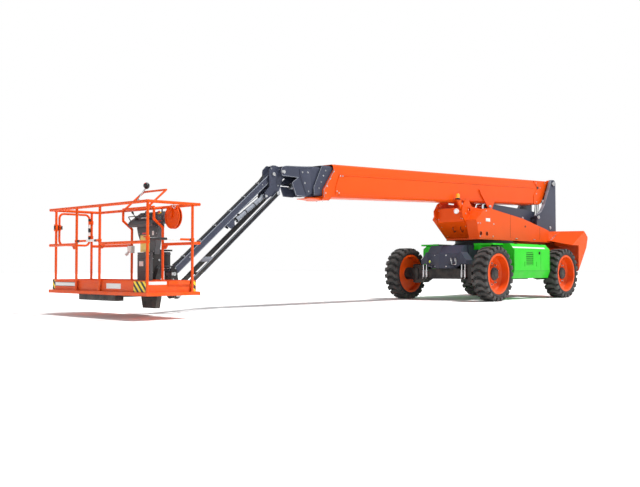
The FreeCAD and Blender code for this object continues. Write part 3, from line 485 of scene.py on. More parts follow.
def addPin(shape, place, axis, radius, tall=0.012):
    # a pin's end with its lock plate and bolt
    place, axis = Vector(place), Vector(axis).normalized()
    side = axis.cross(Vector((0, 0, 1))).normalized()
    addRod(shape, place, place + axis * tall, radius, radius * 0.94, sides=28, edge=0.002)
    addBolt(shape, place + axis * tall, axis, radius * 0.28, 0.008)
    addBlock(shape, place + side * radius * 0.7 - Vector((0.010, 0.004, 0.020)),
             place + side * radius * 1.5 + Vector((0.010, 0.004, 0.020)) + axis * 0.004)


def tubeAlong(shape, points, radius, sides=10, bend=0.05):
    # a pipe or hose through the points, each corner rounded over the length of the bend
    curve = bpy.data.curves.new("line", "CURVE")
    curve.dimensions = "3D"
    curve.bevel_depth, curve.bevel_resolution, curve.use_fill_caps = radius, max(1, sides // 4), True
    spline = curve.splines.new("NURBS")
    rounded = [Vector(points[0])]
    for before, corner, after in zip(points, points[1:], points[2:]):
        before, corner, after = Vector(before), Vector(corner), Vector(after)
        reach = min(bend, (corner - before).length * 0.45, (after - corner).length * 0.45)
        rounded += [corner + (before - corner).normalized() * reach, corner,
                    corner + (after - corner).normalized() * reach]
    rounded.append(Vector(points[-1]))
    spline.points.add(len(rounded) - 1)
    for point, place in zip(spline.points, rounded):
        point.co = (*place, 1.0)
    spline.order_u = 3
    spline.use_endpoint_u = True
    spline.resolution_u = 6
    holder = bpy.data.objects.new("line", curve)
    mesh = bpy.data.meshes.new_from_object(holder)
    shape.from_mesh(mesh)
    bpy.data.objects.remove(holder)
    bpy.data.curves.remove(curve)
    bpy.data.meshes.remove(mesh)


weldGap = 0.00002
sharpAngle = math.radians(32)


def finished(name, shape, material, body, replaces=()):
    bmesh.ops.remove_doubles(shape, verts=shape.verts, dist=weldGap)
    bmesh.ops.recalc_face_normals(shape, faces=shape.faces)
    data = bpy.data.meshes.new(name)
    shape.to_mesh(data)
    shape.free()
    data.materials.append(finish[material])
    data.shade_smooth()
    data.set_sharp_from_angle(angle=sharpAngle)
    made = bpy.data.objects.new(name, data)
    scene.collection.objects.link(made)
    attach(made, body)
    if replaces:
        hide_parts(*replaces)


def finishAll(body, *rows):
    for name, shape, material in rows:
        finished(name, shape, material, body)


# wheels

tyre = {
    "lugs": 23, "lugWidth": 0.076, "lugBase": 0.488, "lugTop": 0.5495, "shoulder": 0.536, "half": 0.163,
    "straight": 0.050, "bend": 0.112, "sweep": 0.060, "cuts": 14, "sides": 96,
    "wall": [(0.384, 0.120), (0.396, 0.130), (0.411, 0.137), (0.418, 0.147), (0.436, 0.156), (0.440, 0.160),
             (0.456, 0.163), (0.460, 0.159), (0.480, 0.155), (0.490, 0.142), (0.496, 0.120), (0.498, 0.066)],
}
wheelSpots = {end + "_" + hand: (along * wheels["axle"], side * wheels["side"])
              for end, along in (("front", 1), ("rear", -1)) for hand, side in (("left", 1), ("right", -1))}


def addLug(shape, centre, settings, turn):
    # one bar across the whole tread: straight in the middle, swept at both sides, level at the shoulder
    half, width, cuts = settings["half"], settings["lugWidth"], settings["cuts"]
    verts = bmesh.ops.create_grid(shape, x_segments=cuts, y_segments=1, size=1)["verts"]
    faces = list({face for vert in verts for face in vert.link_faces})
    pushed = bmesh.ops.extrude_face_region(shape, geom=faces)["geom"]
    raised = {item for item in pushed if isinstance(item, bmesh.types.BMVert)}
    for vert in set(verts) | raised:
        across, hand = vert.co.x * half, 1 if vert.co.y > 0 else -1
        bent = (abs(across) - settings["straight"]) / (settings["bend"] - settings["straight"])
        along = hand * width / 2 - settings["sweep"] * min(max(bent, 0.0), 1.0)
        radius = settings["lugBase"]
        if vert in raised:
            radius = settings["lugTop"] if abs(across) < half * 0.95 else settings["shoulder"]
        else:
            along += hand * 0.009
        angle = along / settings["lugTop"] + turn
        vert.co = Vector((math.cos(angle) * radius, across, math.sin(angle) * radius)) + centre


def addShoulderBlock(shape, centre, settings, turn, side):
    # the foot of a bar, running down the side wall
    angle = turn - settings["sweep"] / settings["lugTop"]
    across = side * (settings["half"] - 0.012)
    verts = addBlock(shape, (0.470, across - 0.010, -0.033), (0.524, across + 0.010, 0.033))
    bmesh.ops.rotate(shape, verts=verts, cent=(0, 0, 0), matrix=Matrix.Rotation(-angle, 3, "Y"))
    bmesh.ops.translate(shape, verts=verts, vec=centre)
    soften(shape, verts, 0.005, 1)


def makeTyre(spotName, settings):
    centre = spot(wheelSpots[spotName][0], wheelSpots[spotName][1], wheels["radius"])
    shape, bars = bmesh.new(), bmesh.new()
    wall = settings["wall"]
    addTurned(shape, wall + [(radius, -along) for radius, along in reversed(wall)] + wall[:1], centre,
              sides=settings["sides"])
    for index in range(settings["lugs"]):
        turn = math.tau * index / settings["lugs"]
        addLug(bars, centre, settings, turn)
        for side in (1, -1):
            addShoulderBlock(bars, centre, settings, turn, side)
    bmesh.ops.recalc_face_normals(bars, faces=bars.faces)
    # darker rubber on the carcass and lighter rubber on the bars: painted shade in the gaps, painted light
    # on the bars
    finished("carcass_" + spotName, shape, "tyre", "wheel_" + spotName, ["tyre_" + spotName])
    finished("tread_" + spotName, bars, "tread", "wheel_" + spotName)


hub = {"nuts": 10, "nutCircle": 0.215, "capBolts": 8, "capCircle": 0.095, "face": 0.030}


def makeHub(spotName, settings):
    x, y = wheelSpots[spotName]
    side = 1 if y > 0 else -1
    centre = spot(x, y, wheels["radius"])
    face = settings["face"]
    cap = bmesh.new()
    addTurned(cap, [(0.0, face + 0.046), (0.060, face + 0.046), (0.066, face + 0.040), (0.112, face + 0.036),
                    (0.128, face + 0.028), (0.134, face + 0.010), (0.136, face - 0.004),
                    (0.0, face - 0.004)], centre, (0, side, 0), 48)
    for index in range(settings["capBolts"]):
        angle = math.tau * index / settings["capBolts"]
        place = centre + Vector((math.cos(angle) * settings["capCircle"], side * (face + 0.037),
                                 math.sin(angle) * settings["capCircle"]))
        addBolt(cap, place, (0, side, 0), 0.009, 0.010)
    finished("hub_cap_" + spotName, cap, "black", "wheel_" + spotName)
    nuts = bmesh.new()
    for index in range(settings["nuts"]):
        angle = math.tau * (index + 0.5) / settings["nuts"]
        place = centre + Vector((math.cos(angle) * settings["nutCircle"], -side * 0.030,
                                 math.sin(angle) * settings["nutCircle"]))
        addStud(nuts, place, (0, side * 0.012, 0), 0.021, 20, 0.002)
        addStud(nuts, place, (0, side * 0.034, 0), 0.015, 6)
        addStud(nuts, place, (0, side * 0.044, 0), 0.009, 14, 0.002)
    stem = centre + Vector((0.30, -side * 0.020, 0.10))
    addStud(nuts, stem, (0.012, side * 0.060, 0.004), 0.008, 12)
    addRod(nuts, stem + Vector((0.012, side * 0.060, 0.004)), stem + Vector((0.014, side * 0.078, 0.005)),
           0.010, sides=12, edge=0.002)
    finished("wheel_nuts_" + spotName, nuts, "zinc", "wheel_" + spotName)


for wheelName in wheelSpots:
    makeTyre(wheelName, tyre)
    makeHub(wheelName, hub)
print("wheels made")


# chassis trim

nose = {"tip": 1.75, "corner": (1.60, 0.41), "bottom": 0.66, "edge": 0.965}


def onProw(across, up, out=0.0):
    # a place on the upright face of the front prow, and the way that face looks
    side = 1 if across > 0 else -1
    run = abs(across) / nose["corner"][1]
    x = nose["tip"] + (nose["corner"][0] - nose["tip"]) * run
    look = Vector((nose["corner"][1], side * (nose["tip"] - nose["corner"][0]), 0)).normalized()
    return spot(x, across, up) + look * out, look


def makeProwTrim():
    lenses, rims, shackles = (bmesh.new() for _ in range(3))
    place, look = onProw(-0.30, 0.80)
    addStud(rims, place, look * 0.010, 0.036, 28, 0.002)
    addRod(lenses, place + look * 0.010, place + look * 0.016, 0.029, sides=28, edge=0.002)
    for across in (-0.14, 0.14):
        for up in (0.70, 0.93):
            head, look = onProw(across, up)
            addBolt(rims, head, look, 0.010)
    place, look = onProw(0.30, 0.84)
    across = look.cross(Vector((0, 0, 1)))
    for step in (-0.045, 0.045):
        ear = place + across * step
        addCase(shackles, ear, (0.006, 0.010, 0.035), (0.050, 0.010, 0.035), 0.003)
    tubeAlong(shackles, [place + across * -0.045 + look * 0.028,
                         place + across * -0.045 + look * 0.030 + Vector((0, 0, -0.10)),
                         place + across * 0.045 + look * 0.030 + Vector((0, 0, -0.10)),
                         place + across * 0.045 + look * 0.028], 0.010, bend=0.04)
    finishAll("chassis", ("prow_reflector", lenses, "reflector"), ("prow_bolts", rims, "zinc"),
              ("prow_tow_hook", shackles, "zinc"))


def makeProwSeams():
    # weld beads where the upright faces meet the brows and each other, front and rear
    shape = bmesh.new()
    for end in (1, -1):
        tip = spot(end * nose["tip"], 0, nose["edge"])
        for side in (1, -1):
            corner = spot(end * nose["corner"][0], side * nose["corner"][1], nose["edge"])
            addRod(shape, tip, corner, 0.005, sides=8)
        addRod(shape, spot(end * nose["tip"], 0, nose["bottom"]), tip, 0.005, sides=8)
    finished("prow_welds", shape, "slate", "chassis")


lockout = {"x": 1.575, "sides": (0.44, 0.52), "rod": 0.0145}


def makeLockout():
    sleeves, rods = bmesh.new(), bmesh.new()
    for side in (1, -1):
        for across in lockout["sides"]:
            foot = spot(lockout["x"], side * across, 0.47)
            addTurned(sleeves, [(0, 0), (0.024, 0), (0.0275, 0.006), (0.0275, 0.135), (0.030, 0.138),
                                (0.030, 0.152), (0.016, 0.152), (0, 0.152)], foot, (0, 0, 1), 24)
            addRod(rods, foot + Vector((0, 0, 0.150)), foot + Vector((0, 0, 0.270)), lockout["rod"],
                   sides=20)
            addBolt(sleeves, spot(1.601, side * across, 0.455), (1, 0, 0), 0.009)
    finishAll("chassis", ("lockout_barrels", sleeves, "zinc"), ("lockout_rods", rods, "chrome"))


def makeAxleTrim():
    # steering cylinder glands with their hoses, and the yoke caps and front plate of the front axle
    metal, lines = bmesh.new(), bmesh.new()
    steerZ, steerX = 0.515, wheels["axle"] - 0.17
    for side in (1, -1):
        gland = spot(steerX, side * 0.26, steerZ)
        addStud(metal, gland, (0, side * 0.022, 0), 0.040, 24, 0.002)
        addRod(metal, gland + Vector((0, -side * 0.05, 0.045)), gland + Vector((0, -side * 0.05, 0.075)),
               0.011, sides=6)
        tubeAlong(lines, [gland + Vector((0, -side * 0.05, 0.070)), gland + Vector((0, -side * 0.05, 0.12)),
                          gland + Vector((0.05, -side * 0.10, 0.16)), gland + Vector((0.05, 0, 0.22))],
                  0.009)
        for level, out in ((0.741, 1), (0.359, -1)):
            cap = spot(wheels["axle"], side * 0.78, level)
            addStud(metal, cap, (0, 0, out * 0.008), 0.058, 32, 0.002)
            for step in range(4):
                angle = math.tau * (step + 0.5) / 4
                addBolt(metal, cap + Vector((math.cos(angle) * 0.042, math.sin(angle) * 0.042, out * 0.008)),
                        (0, 0, out), 0.007, 0.007)
    for across in (-0.20, 0.20):
        for level in (0.50, 0.60):
            addBolt(metal, spot(1.551, across, level), (1, 0, 0), 0.014, 0.011)
    addPlate(metal, [spot(1.5505, -0.24, 0.47), spot(1.5505, 0.24, 0.47), spot(1.5505, 0.26, 0.50),
                     spot(1.5505, 0.26, 0.62), spot(1.5505, -0.26, 0.62), spot(1.5505, -0.26, 0.50)],
             (0.006, 0, 0))
    finishAll("chassis", ("axle_fittings", metal, "black"), ("axle_hoses", lines, "hose"))


cover = {"half": 1.15, "front": 0.712, "rear": -0.83, "top": 1.18}


def makeCoverTrim():
    seams, black, plates = (bmesh.new() for _ in range(3))
    half = cover["half"]
    for side in (1, -1):
        def face(x, z, out=0.0):
            return spot(x, side * (half + out), z)
        # door gap lines, drawn as thin dark strips proud of the sheet: painted shade of the gaps
        for x in (cover["front"] - 0.015, cover["rear"] + 0.015, -0.42):
            addBlock(seams, face(x - 0.0025, 0.61, -0.002), face(x + 0.0025, 1.065, 0.0012))
        addBlock(seams, face(cover["rear"] + 0.015, 0.606, -0.002),
                 face(cover["front"] - 0.015, 0.611, 0.0012))
        # lock, with its round escutcheon and folding handle
        lock = face(-0.36, 0.99)
        addStud(black, lock, (0, side * 0.006, 0), 0.034, 28, 0.002)
        addBlock(black, lock + Vector((-0.012, -0.001, -0.030)), lock + Vector((0.012, side * 0.014, 0.030)),
                 0.003)
        # foot strip and the two hinges along the top bevel
        addBlock(black, face(0.04, 0.432, -0.12), face(0.70, 0.452, -0.06), 0.003)
        for x in (-0.60, 0.45):
            hinge = spot(x, side * (half - 0.105), cover["top"] + 0.003)
            addRod(black, hinge - Vector((0.05, 0, 0)), hinge + Vector((0.05, 0, 0)), 0.009, sides=14,
                   edge=0.001)
        # pale blank strip on the bevel
        top, foot = Vector((0, -side * 0.040, 0.040)), Vector((0, -side * 0.012, 0.012))
        corner = face(-0.64, cover["top"] - 0.108, 0.0015)
        run = Vector((1.37, 0, 0))
        addPlate(plates, [corner + foot, corner + run + foot, corner + run + top, corner + top],
                 Vector((0, side, 1)).normalized() * 0.001)
    finishAll("chassis", ("cover_gap_shade", seams, "black"), ("cover_locks", black, "black"),
              ("cover_strips", plates, "pale"))


ring = {"bolts": 36, "boltCircle": 0.69, "boltLevel": 1.170, "teeth": 90, "toothCircle": 0.646,
        "toothLevel": 1.190}


def makeRingBolts():
    shape = bmesh.new()
    for index in range(ring["bolts"]):
        angle = math.tau * index / ring["bolts"]
        way = Vector((math.cos(angle), math.sin(angle), 0))
        addBolt(shape, spot(0, 0, ring["boltLevel"]) + way * ring["boltCircle"], (0, 0, 1), 0.014, 0.014)
    # ring gear teeth round the foot of the slewing ring
    for index in range(ring["teeth"]):
        angle = math.tau * index / ring["teeth"]
        turn = Matrix.Rotation(angle, 3, "Z")
        way = Vector((math.cos(angle), math.sin(angle), 0))
        centre = spot(0, 0, ring["toothLevel"]) + way * ring["toothCircle"]
        addCase(shape, centre, (0.010, 0.011, 0.018), (0.010, 0.011, 0.018), turn=turn)
    finished("ring_bolts", shape, "iron", "chassis")


def makeAprons():
    # folded skirts under the deck's front corners, with their edge bolts
    skirts, bolts = bmesh.new(), bmesh.new()
    for side in (1, -1):
        addBlock(skirts, spot(0.712, side * 0.600 - 0.004, 1.050), spot(1.120, side * 0.600 + 0.004, 1.184),
                 0.002)
        addBlock(skirts, spot(1.112, side * 0.522 - 0.078, 1.050), spot(1.120, side * 0.522 + 0.078, 1.184),
                 0.002)
        for x in (0.80, 1.04):
            addBolt(bolts, spot(x, side * 0.604, 1.085), (0, side, 0), 0.008, 0.007)
    finishAll("chassis", ("deck_aprons", skirts, "green"), ("deck_apron_bolts", bolts, "zinc"))


for make in (makeAprons, makeProwTrim, makeProwSeams, makeLockout, makeAxleTrim, makeCoverTrim,
             makeRingBolts):
    make()
print("chassis trim made")


# turntable trim

housing = {
    "inner": 0.600, "plate": {1: 0.606, -1: 0.600}, "holes": {1: ((1.11, 1.39), (0.87, 1.39)), -1: ()},
    "bolts": {1: ((0.90, 1.87), (1.13, 1.60), (0.60, 1.60), (0.63, 1.34), (1.22, 1.60), (1.14, 1.33)),
              -1: ((0.90, 1.86), (0.98, 1.68), (0.60, 1.60), (0.50, 1.34), (1.06, 1.72))},
}


def makeHousingTrim():
    bolts, plates, rings, seams = (bmesh.new() for _ in range(4))
    for side in (1, -1):
        outer = housing["plate"][side]
        addBoltRow(bolts, housing["bolts"][side], side, outer, 0.013, 0.010)
        for x, z in housing["holes"][side]:
            place = spot(x, side * outer, z)
            addTurned(rings, [(0.032, 0.0), (0.040, 0.0), (0.041, 0.005), (0.038, 0.008), (0.032, 0.008),
                              (0.032, 0.0)], place, (0, side, 0), 28)
        plate = spot(0.83, side * outer, 1.68)
        addBlock(plates, plate + Vector((-0.085, side * -0.001, -0.035)),
                 plate + Vector((0.085, side * 0.003, 0.035)), 0.001)
        for step in (-0.075, 0.075):
            addBolt(bolts, plate + Vector((step, side * 0.002, 0)), (0, side, 0), 0.004, 0.003)
        # lifting eye on the top face, its foot on the sheet
        eye = spot(-0.82, side * 0.50, 1.740)
        addStud(bolts, eye, (0, 0, 0.022), 0.020, 20, 0.002)
        addRing(bolts, (0.020, 0.034), (-0.008, 0.008), eye + Vector((0, 0, 0.052)), (0, 1, 0), 24)
        # panel gap of the rear door, drawn as black strips as painted shade of the gap, and the hinges under
        # it
        for x in (-0.10, -1.42):
            addBlock(seams, spot(x - 0.0025, side * (housing["inner"] - 0.002), 1.33),
                     spot(x + 0.0025, side * (housing["inner"] + 0.0015), 1.60 + 0.185 * (x + 1.42)))
        for x in (-0.35, -1.15):
            hinge = spot(x, side * (housing["inner"] + 0.006), 1.318)
            addRod(bolts, hinge - Vector((0.045, 0, 0)), hinge + Vector((0.045, 0, 0)), 0.008, sides=12)
        lock = spot(-0.75, side * housing["inner"], 1.60)
        addStud(rings, lock, (0, side * 0.006, 0), 0.022, 24, 0.002)
        addBlock(rings, lock + Vector((-0.026, side * 0.004, -0.006)),
                 lock + Vector((0.026, side * 0.010, 0.006)), 0.002)
    finishAll("turntable", ("housing_bolts", bolts, "zinc"), ("housing_plates", plates, "pale"),
              ("housing_rings", rings, "black"), ("housing_gap_shade", seams, "black"))


def makeLugTrim():
    # a ring on each face round the hole of the two lug plates, and the plates' bolts
    pins, rims = bmesh.new(), bmesh.new()
    for side, x, z, radius in ((1, 1.17, 1.89, 0.040), (-1, 1.22, 2.00, 0.032)):
        place = spot(x, side * 0.360, z)
        addRing(rims, (radius, radius + 0.026), (0.0, 0.010), place, (0, side, 0), 32)
        addRing(rims, (radius, radius + 0.026), (0.0, 0.010), place - Vector((0, side * 0.026, 0)),
                (0, -side, 0), 32)
    for x, z in ((1.30, 1.80), (1.05, 1.55), (0.80, 1.55)):
        addBolt(pins, spot(x, 0.360, z), (0, 1, 0), 0.012, 0.010)
        addBolt(pins, spot(x, -0.360, z), (0, -1, 0), 0.012, 0.010)
    finishAll("turntable", ("lug_rims", rims, "orange"), ("lug_bolts", pins, "zinc"))


def makeFrontCoverTrim():
    # two grab handles on the sloping panel and bolts round its edge
    handles, bolts = bmesh.new(), bmesh.new()
    slope = Vector((0.39, 0, 0.34)).normalized()
    out = Vector((0.34, 0, -0.39)).normalized()
    for across in (-0.01, 0.18):
        low = spot(1.160, across, 1.500)
        tubeAlong(handles, [low - slope * 0.06, low - slope * 0.06 + out * 0.045,
                            low + slope * 0.06 + out * 0.045, low + slope * 0.06], 0.007, bend=0.02)
    for across in (-0.30, 0.30):
        for step in (-0.45, -0.15, 0.10):
            addBolt(bolts, spot(1.320, across, 1.640) + slope * step + out * 0.002, out, 0.009, 0.007)
        for level in (1.70, 1.88):
            addBolt(bolts, spot(1.3205, across, level), (1, 0, 0), 0.009, 0.007)
    finishAll("turntable", ("panel_handles", handles, "black"), ("panel_bolts", bolts, "zinc"))


beacon = {"place": (1.50, 0.30), "foot": 2.080}


def makeBeacon():
    x, y = beacon["place"]
    foot = spot(x, y, beacon["foot"])
    base, dome = bmesh.new(), bmesh.new()
    addTurned(base, [(0, 0), (0.050, 0), (0.053, 0.006), (0.053, 0.020), (0.046, 0.032), (0.040, 0.036),
                     (0, 0.036)], foot, (0, 0, 1), 36)
    addTurned(dome, [(0, 0.034), (0.040, 0.034), (0.042, 0.040), (0.041, 0.090), (0.036, 0.112),
                     (0.024, 0.126), (0.010, 0.131), (0, 0.132)], foot, (0, 0, 1), 36)
    lamp, glass = bmesh.new(), bmesh.new()
    back = spot(1.50, 0.30, 1.84)
    addTurned(lamp, [(0, 0), (0.030, 0), (0.040, 0.012), (0.046, 0.045), (0.056, 0.048), (0.056, 0.064),
                     (0.048, 0.066), (0.047, 0.056), (0, 0.056)], back, (1, 0, 0), 36)
    addTurned(glass, [(0, 0.0565), (0.046, 0.0565), (0.042, 0.062), (0.022, 0.067), (0, 0.068)], back,
              (1, 0, 0), 36)
    finished("beacon_base", base, "black", "turntable")
    finished("beacon_dome", dome, "amber", "turntable", ["lights"])
    finishAll("turntable", ("work_lamp", lamp, "pale"), ("work_lamp_glass", glass, "lampGlass"))


def makeTailTrim():
    # bolts along the counterweight's shoulder seam and its rear reflectors
    bolts, red, rims = (bmesh.new() for _ in range(3))
    for side in (1, -1):
        top, foot = spot(-2.06, side * 0.66, 1.475), spot(-1.86, side * 0.66, 1.355)
        look = Vector((0.53, side * 0.19, 1.0)).normalized()
        for step in range(4):
            place = top.lerp(foot, step / 3)
            place.z = 0.47 - 0.53 * (place.x - slewAxis) - 0.19 * abs(place.y)
            addBolt(bolts, place, look, 0.013, 0.010)
        angle = math.pi - side * 0.42
        way = Vector((math.cos(angle), math.sin(angle), 0))
        place = spot(-1.0, 0, 1.375) + way * 2.0
        addStud(rims, place, way * 0.008, 0.046, 28, 0.002)
        addRod(red, place + way * 0.008, place + way * 0.013, 0.038, sides=28, edge=0.002)
    finishAll("turntable", ("tail_bolts", bolts, "zinc"), ("tail_reflector_rims", rims, "black"),
              ("tail_reflectors", red, "redLens"))


mastEdge = [(-1.752, 1.900), (-1.980, 2.010), (-2.150, 2.190), (-2.350, 2.530), (-2.500, 2.800),
            (-2.640, 2.800)]
mastPins = {"boom": (-2.58, 2.72, 0.055), "lift": (-1.82, 1.87, 0.040)}


def makeMastTrim():
    pins, welds, lines, highlitFlanges = (bmesh.new() for _ in range(4))
    for side in (1, -1):
        for x, z, radius in mastPins.values():
            place = spot(x, side * 0.350, z)
            addTurned(welds, [(radius + 0.004, 0), (radius + 0.034, 0), (radius + 0.032, 0.012),
                              (radius + 0.004, 0.014), (radius + 0.004, 0)], place, (0, side, 0), 36)
            addPin(pins, place + Vector((0, side * 0.010, 0)), (0, side, 0), radius, 0.014)
        # flange along the front edge of the mast cheek, pale as a painted highlight
        for (x, z), (nextX, nextZ) in zip(mastEdge, mastEdge[1:]):
            low, high = spot(x, side * 0.286, z), spot(nextX, side * 0.286, nextZ)
            lean = (high - low).normalized()
            across = Vector((lean.z, 0, -lean.x)) * 0.009
            addPlate(highlitFlanges, [low - lean * 0.003, high + lean * 0.003, high + across, low + across],
                     (0, side * 0.068, 0), 0.002)
        addBolt(pins, spot(-2.41, side * 0.350, 1.64), (0, side, 0), 0.030, 0.016)
        for x, z in ((-1.90, 1.40), (-2.10, 1.40), (-2.35, 1.40), (-2.58, 1.40)):
            addBolt(pins, spot(x, side * 0.350, z), (0, side, 0), 0.015, 0.012)
    # hydraulic lines from the turntable up inside the mast to the boom's foot
    for across in (-0.16, -0.11, -0.06, 0.06, 0.11, 0.16):
        tubeAlong(lines, [spot(-2.30, across, 1.36), spot(-2.45, across, 1.60),
                          spot(-2.56, across * 0.9, 2.00), spot(-2.60, across * 0.8, 2.40),
                          spot(-2.50, across * 0.7, 2.62)], 0.011, bend=0.15)
    finishAll("turntable", ("mast_pins", pins, "zinc"), ("mast_rims", welds, "slate"),
              ("mast_flange_highlights", highlitFlanges, "ash"), ("mast_lines", lines, "hose"))


for make in (makeHousingTrim, makeLugTrim, makeFrontCoverTrim, makeBeacon, makeTailTrim, makeMastTrim):
    make()
print("turntable trim made")


# boom trim

sections = {"base": {"half": 0.220, "top": 0.068}, "mid": {"half": 0.190}}


def boomPlate(shape, side, half, corners, depth, edge=0.0):
    # a plate on the boom's side, its outline in the boom's own frame
    addPlate(shape, [boomSpot(along, side * half, up) for along, up in corners], (0, side * depth, 0), edge)


def makeCollarTrim():
    # wear pad housings with their bolts round the mouths of the base and middle sections
    pads, bolts, edges = (bmesh.new() for _ in range(3))
    for side in (1, -1):
        half = sections["base"]["half"]
        boomPlate(pads, side, half, [(7.56, -0.10), (7.68, -0.10), (7.80, -0.36), (7.80, -0.46),
                                     (7.66, -0.46)], 0.010)
        addBoltRow(bolts, ((7.60, -0.13), (7.66, -0.13), (7.76, -0.40), (7.71, -0.43)), side, half + 0.010,
                   0.011, 0.009, boomSpot)
        addBoltRow(bolts, ((7.84, -0.06), (7.93, -0.19), (8.02, -0.32), (8.06, -0.44)), side, half + 0.014,
                   0.012, 0.010, boomSpot)
        # pale beads along the edges of the two mouths: painted highlights
        for half, corners in ((0.2345, [(7.822, -0.032), (8.106, -0.389), (8.104, -0.515)]),
                              (0.1905, [(8.103, 0.009), (8.308, -0.352), (8.300, -0.478)])):
            addBead(edges, [boomSpot(along, side * half, up) for along, up in corners], 0.0045)
        half = sections["mid"]["half"]
        addBoltRow(bolts, ((8.00, -0.05), (8.06, -0.14), (8.12, -0.25), (8.18, -0.36)), side, half, 0.010,
                   0.009, boomSpot)
    for across in (-0.14, 0.0, 0.14):
        addBolt(bolts, boomSpot(7.90, across, -0.5605), boomSpot(0, 0, -1) - boomSpot(0, 0, 0), 0.012, 0.010)
        addBolt(bolts, boomSpot(7.70, across, 0.0685), boomSpot(0, 0, 1) - boomSpot(0, 0, 0), 0.012, 0.010)
    finishAll("boom_base", ("collar_pads", pads, "orange"), ("collar_bolts", bolts, "zinc"),
              ("collar_edge_highlights", edges, "ash"))


pipeClips = {"count": 9, "first": 0.9, "pitch": 0.80}


def makeBaseTrim():
    welds, bolts, dark = (bmesh.new() for _ in range(3))
    top, half = sections["base"]["top"], sections["base"]["half"]
    for side in (1, -1):
        # two long seams on the side sheet, one in its upper part and one near its foot
        for start, end, up, radius in ((0.76, 7.56, -0.115, 0.008), (0.76, 7.66, -0.455, 0.004)):
            addRod(welds, boomSpot(start, side * half, up), boomSpot(end, side * half, up), radius, sides=8)
        addBoltRow(bolts, ((0.62, 0.01), (0.44, -0.11), (0.62, -0.25), (0.62, -0.45), (0.20, 0.01),
                           (0.20, -0.20)), side, half + 0.010, 0.012, 0.010, boomSpot)
        # a black disc on the side sheet stands for a hole: painted shade
        hole = boomSpot(0.55, side * (half + 0.0105), -0.11)
        addRod(dark, hole - Vector((0, side * 0.004, 0)), hole + Vector((0, side * 0.0015, 0)), 0.038,
               sides=28)
        place = boomSpot(2.765, side * (half + 0.038), -0.589)
        addPin(bolts, place, (0, side, 0), 0.032, 0.012)
    # clips and the two pipes that run along the top of the base section
    for index in range(pipeClips["count"]):
        along = pipeClips["first"] + index * pipeClips["pitch"]
        addBlock(dark, boomSpot(along, -0.05, top + 0.001) - Vector((0.020, 0.030, 0.004)),
                 boomSpot(along, -0.05, top + 0.001) + Vector((0.020, 0.030, 0.026)), 0.003)
    for across in (-0.065, -0.035):
        addRod(bolts, boomSpot(0.3, across, top + 0.014), boomSpot(7.6, across, top + 0.014), 0.008,
               sides=12)
    finishAll("boom_base", ("base_seams", welds, "orange"), ("base_bolts", bolts, "zinc"),
              ("base_hole_shade_and_clips", dark, "button"))


def makeHeadTrim():
    # stiffener plates, pin ends and edge beads at the boom's head; the beads are pale as painted highlights
    plates, pins, edges = (bmesh.new() for _ in range(3))
    half = 0.160
    for side in (1, -1):
        boomPlate(plates, side, half, [(8.36, -0.04), (8.62, -0.05), (8.60, -0.19), (8.47, -0.475),
                                       (8.34, -0.46)], 0.008, 0.002)
        addBoltRow(pins, ((8.42, -0.10), (8.55, -0.10), (8.50, -0.28), (8.42, -0.42)), side, half + 0.008,
                   0.011, 0.009, boomSpot)
        for x, z, radius in ((6.38, 2.25, 0.032), (5.64, 2.055, 0.022)):
            addPin(pins, spot(x, side * 0.160, z), (0, side, 0), radius, 0.006)
        # pale beads round the head's outline: painted highlights
        corners = [(8.36, 0.0), (8.92, -0.012), (9.01, -0.030), (9.04, -0.10), (9.01, -0.178),
                   (8.90, -0.178), (8.64, -0.19), (8.788, -0.285), (8.705, -0.493), (8.48, -0.505)]
        addBead(edges, [boomSpot(along, side * 0.158, up) for along, up in corners], 0.0045)
    finishAll("boom_fly", ("head_plates", plates, "slate"), ("head_pins", pins, "zinc"),
              ("head_edge_highlights", edges, "ash"))


cylinders = {
    "lift": {"base": (-1.82, 1.87), "eye": (0.14, 2.02), "barrel": 0.085, "reach": 0.90},
    "jib": {"base": (6.70, 1.83), "eye": (7.41, 1.33), "barrel": 0.038, "reach": 0.82},
    "level": {"base": (5.64, 2.055), "eye": (6.43, 2.035), "barrel": 0.042, "reach": 0.58},
}


def makeCylinderTrim(name, base, eye, barrel, reach):
    # gland ring, bands, port blocks and feed pipe of one hydraulic cylinder
    start, end = spot(base[0], 0, base[1]), spot(eye[0], 0, eye[1])
    way = (end - start).normalized()
    up = Vector((-way.z, 0, way.x))
    length = (end - start).length
    metal, pipes = bmesh.new(), bmesh.new()
    mouth = start + way * length * reach
    addTurned(metal, [(barrel * 0.66, 0.0), (barrel + 0.004, 0.0), (barrel + 0.005, 0.004),
                      (barrel * 0.9, 0.012), (barrel * 0.66, 0.013), (barrel * 0.66, 0.0)], mouth, way, 32)
    for share in (0.10, reach - 0.10):
        port = start + way * length * share + up * barrel
        addCase(metal, port, (0.018, 0.016, 0.010), (0.018, 0.016, 0.022), 0.003)
        addRod(metal, port + up * 0.020, port + up * 0.034, 0.010, sides=6)
    low = start + way * length * 0.10 + up * (barrel + 0.030)
    high = start + way * length * (reach - 0.10) + up * (barrel + 0.030)
    tubeAlong(pipes, [low, low + way * 0.05 + up * 0.004, high - way * 0.05 + up * 0.004, high], 0.006)
    for share in (0.3, 0.55):
        band = start + way * length * share
        addRing(metal, (barrel, barrel + 0.003), (-0.008, 0.008), band, way, 28)
    finishAll(name + "_barrel", (name + "_cylinder_fittings", metal, "black"),
              (name + "_cylinder_pipe", pipes, "zinc"))


for make in (makeCollarTrim, makeBaseTrim, makeHeadTrim):
    make()
for cylinderName, measures in cylinders.items():
    makeCylinderTrim(cylinderName, **measures)
print("boom trim made")


# knuckle and jib trim

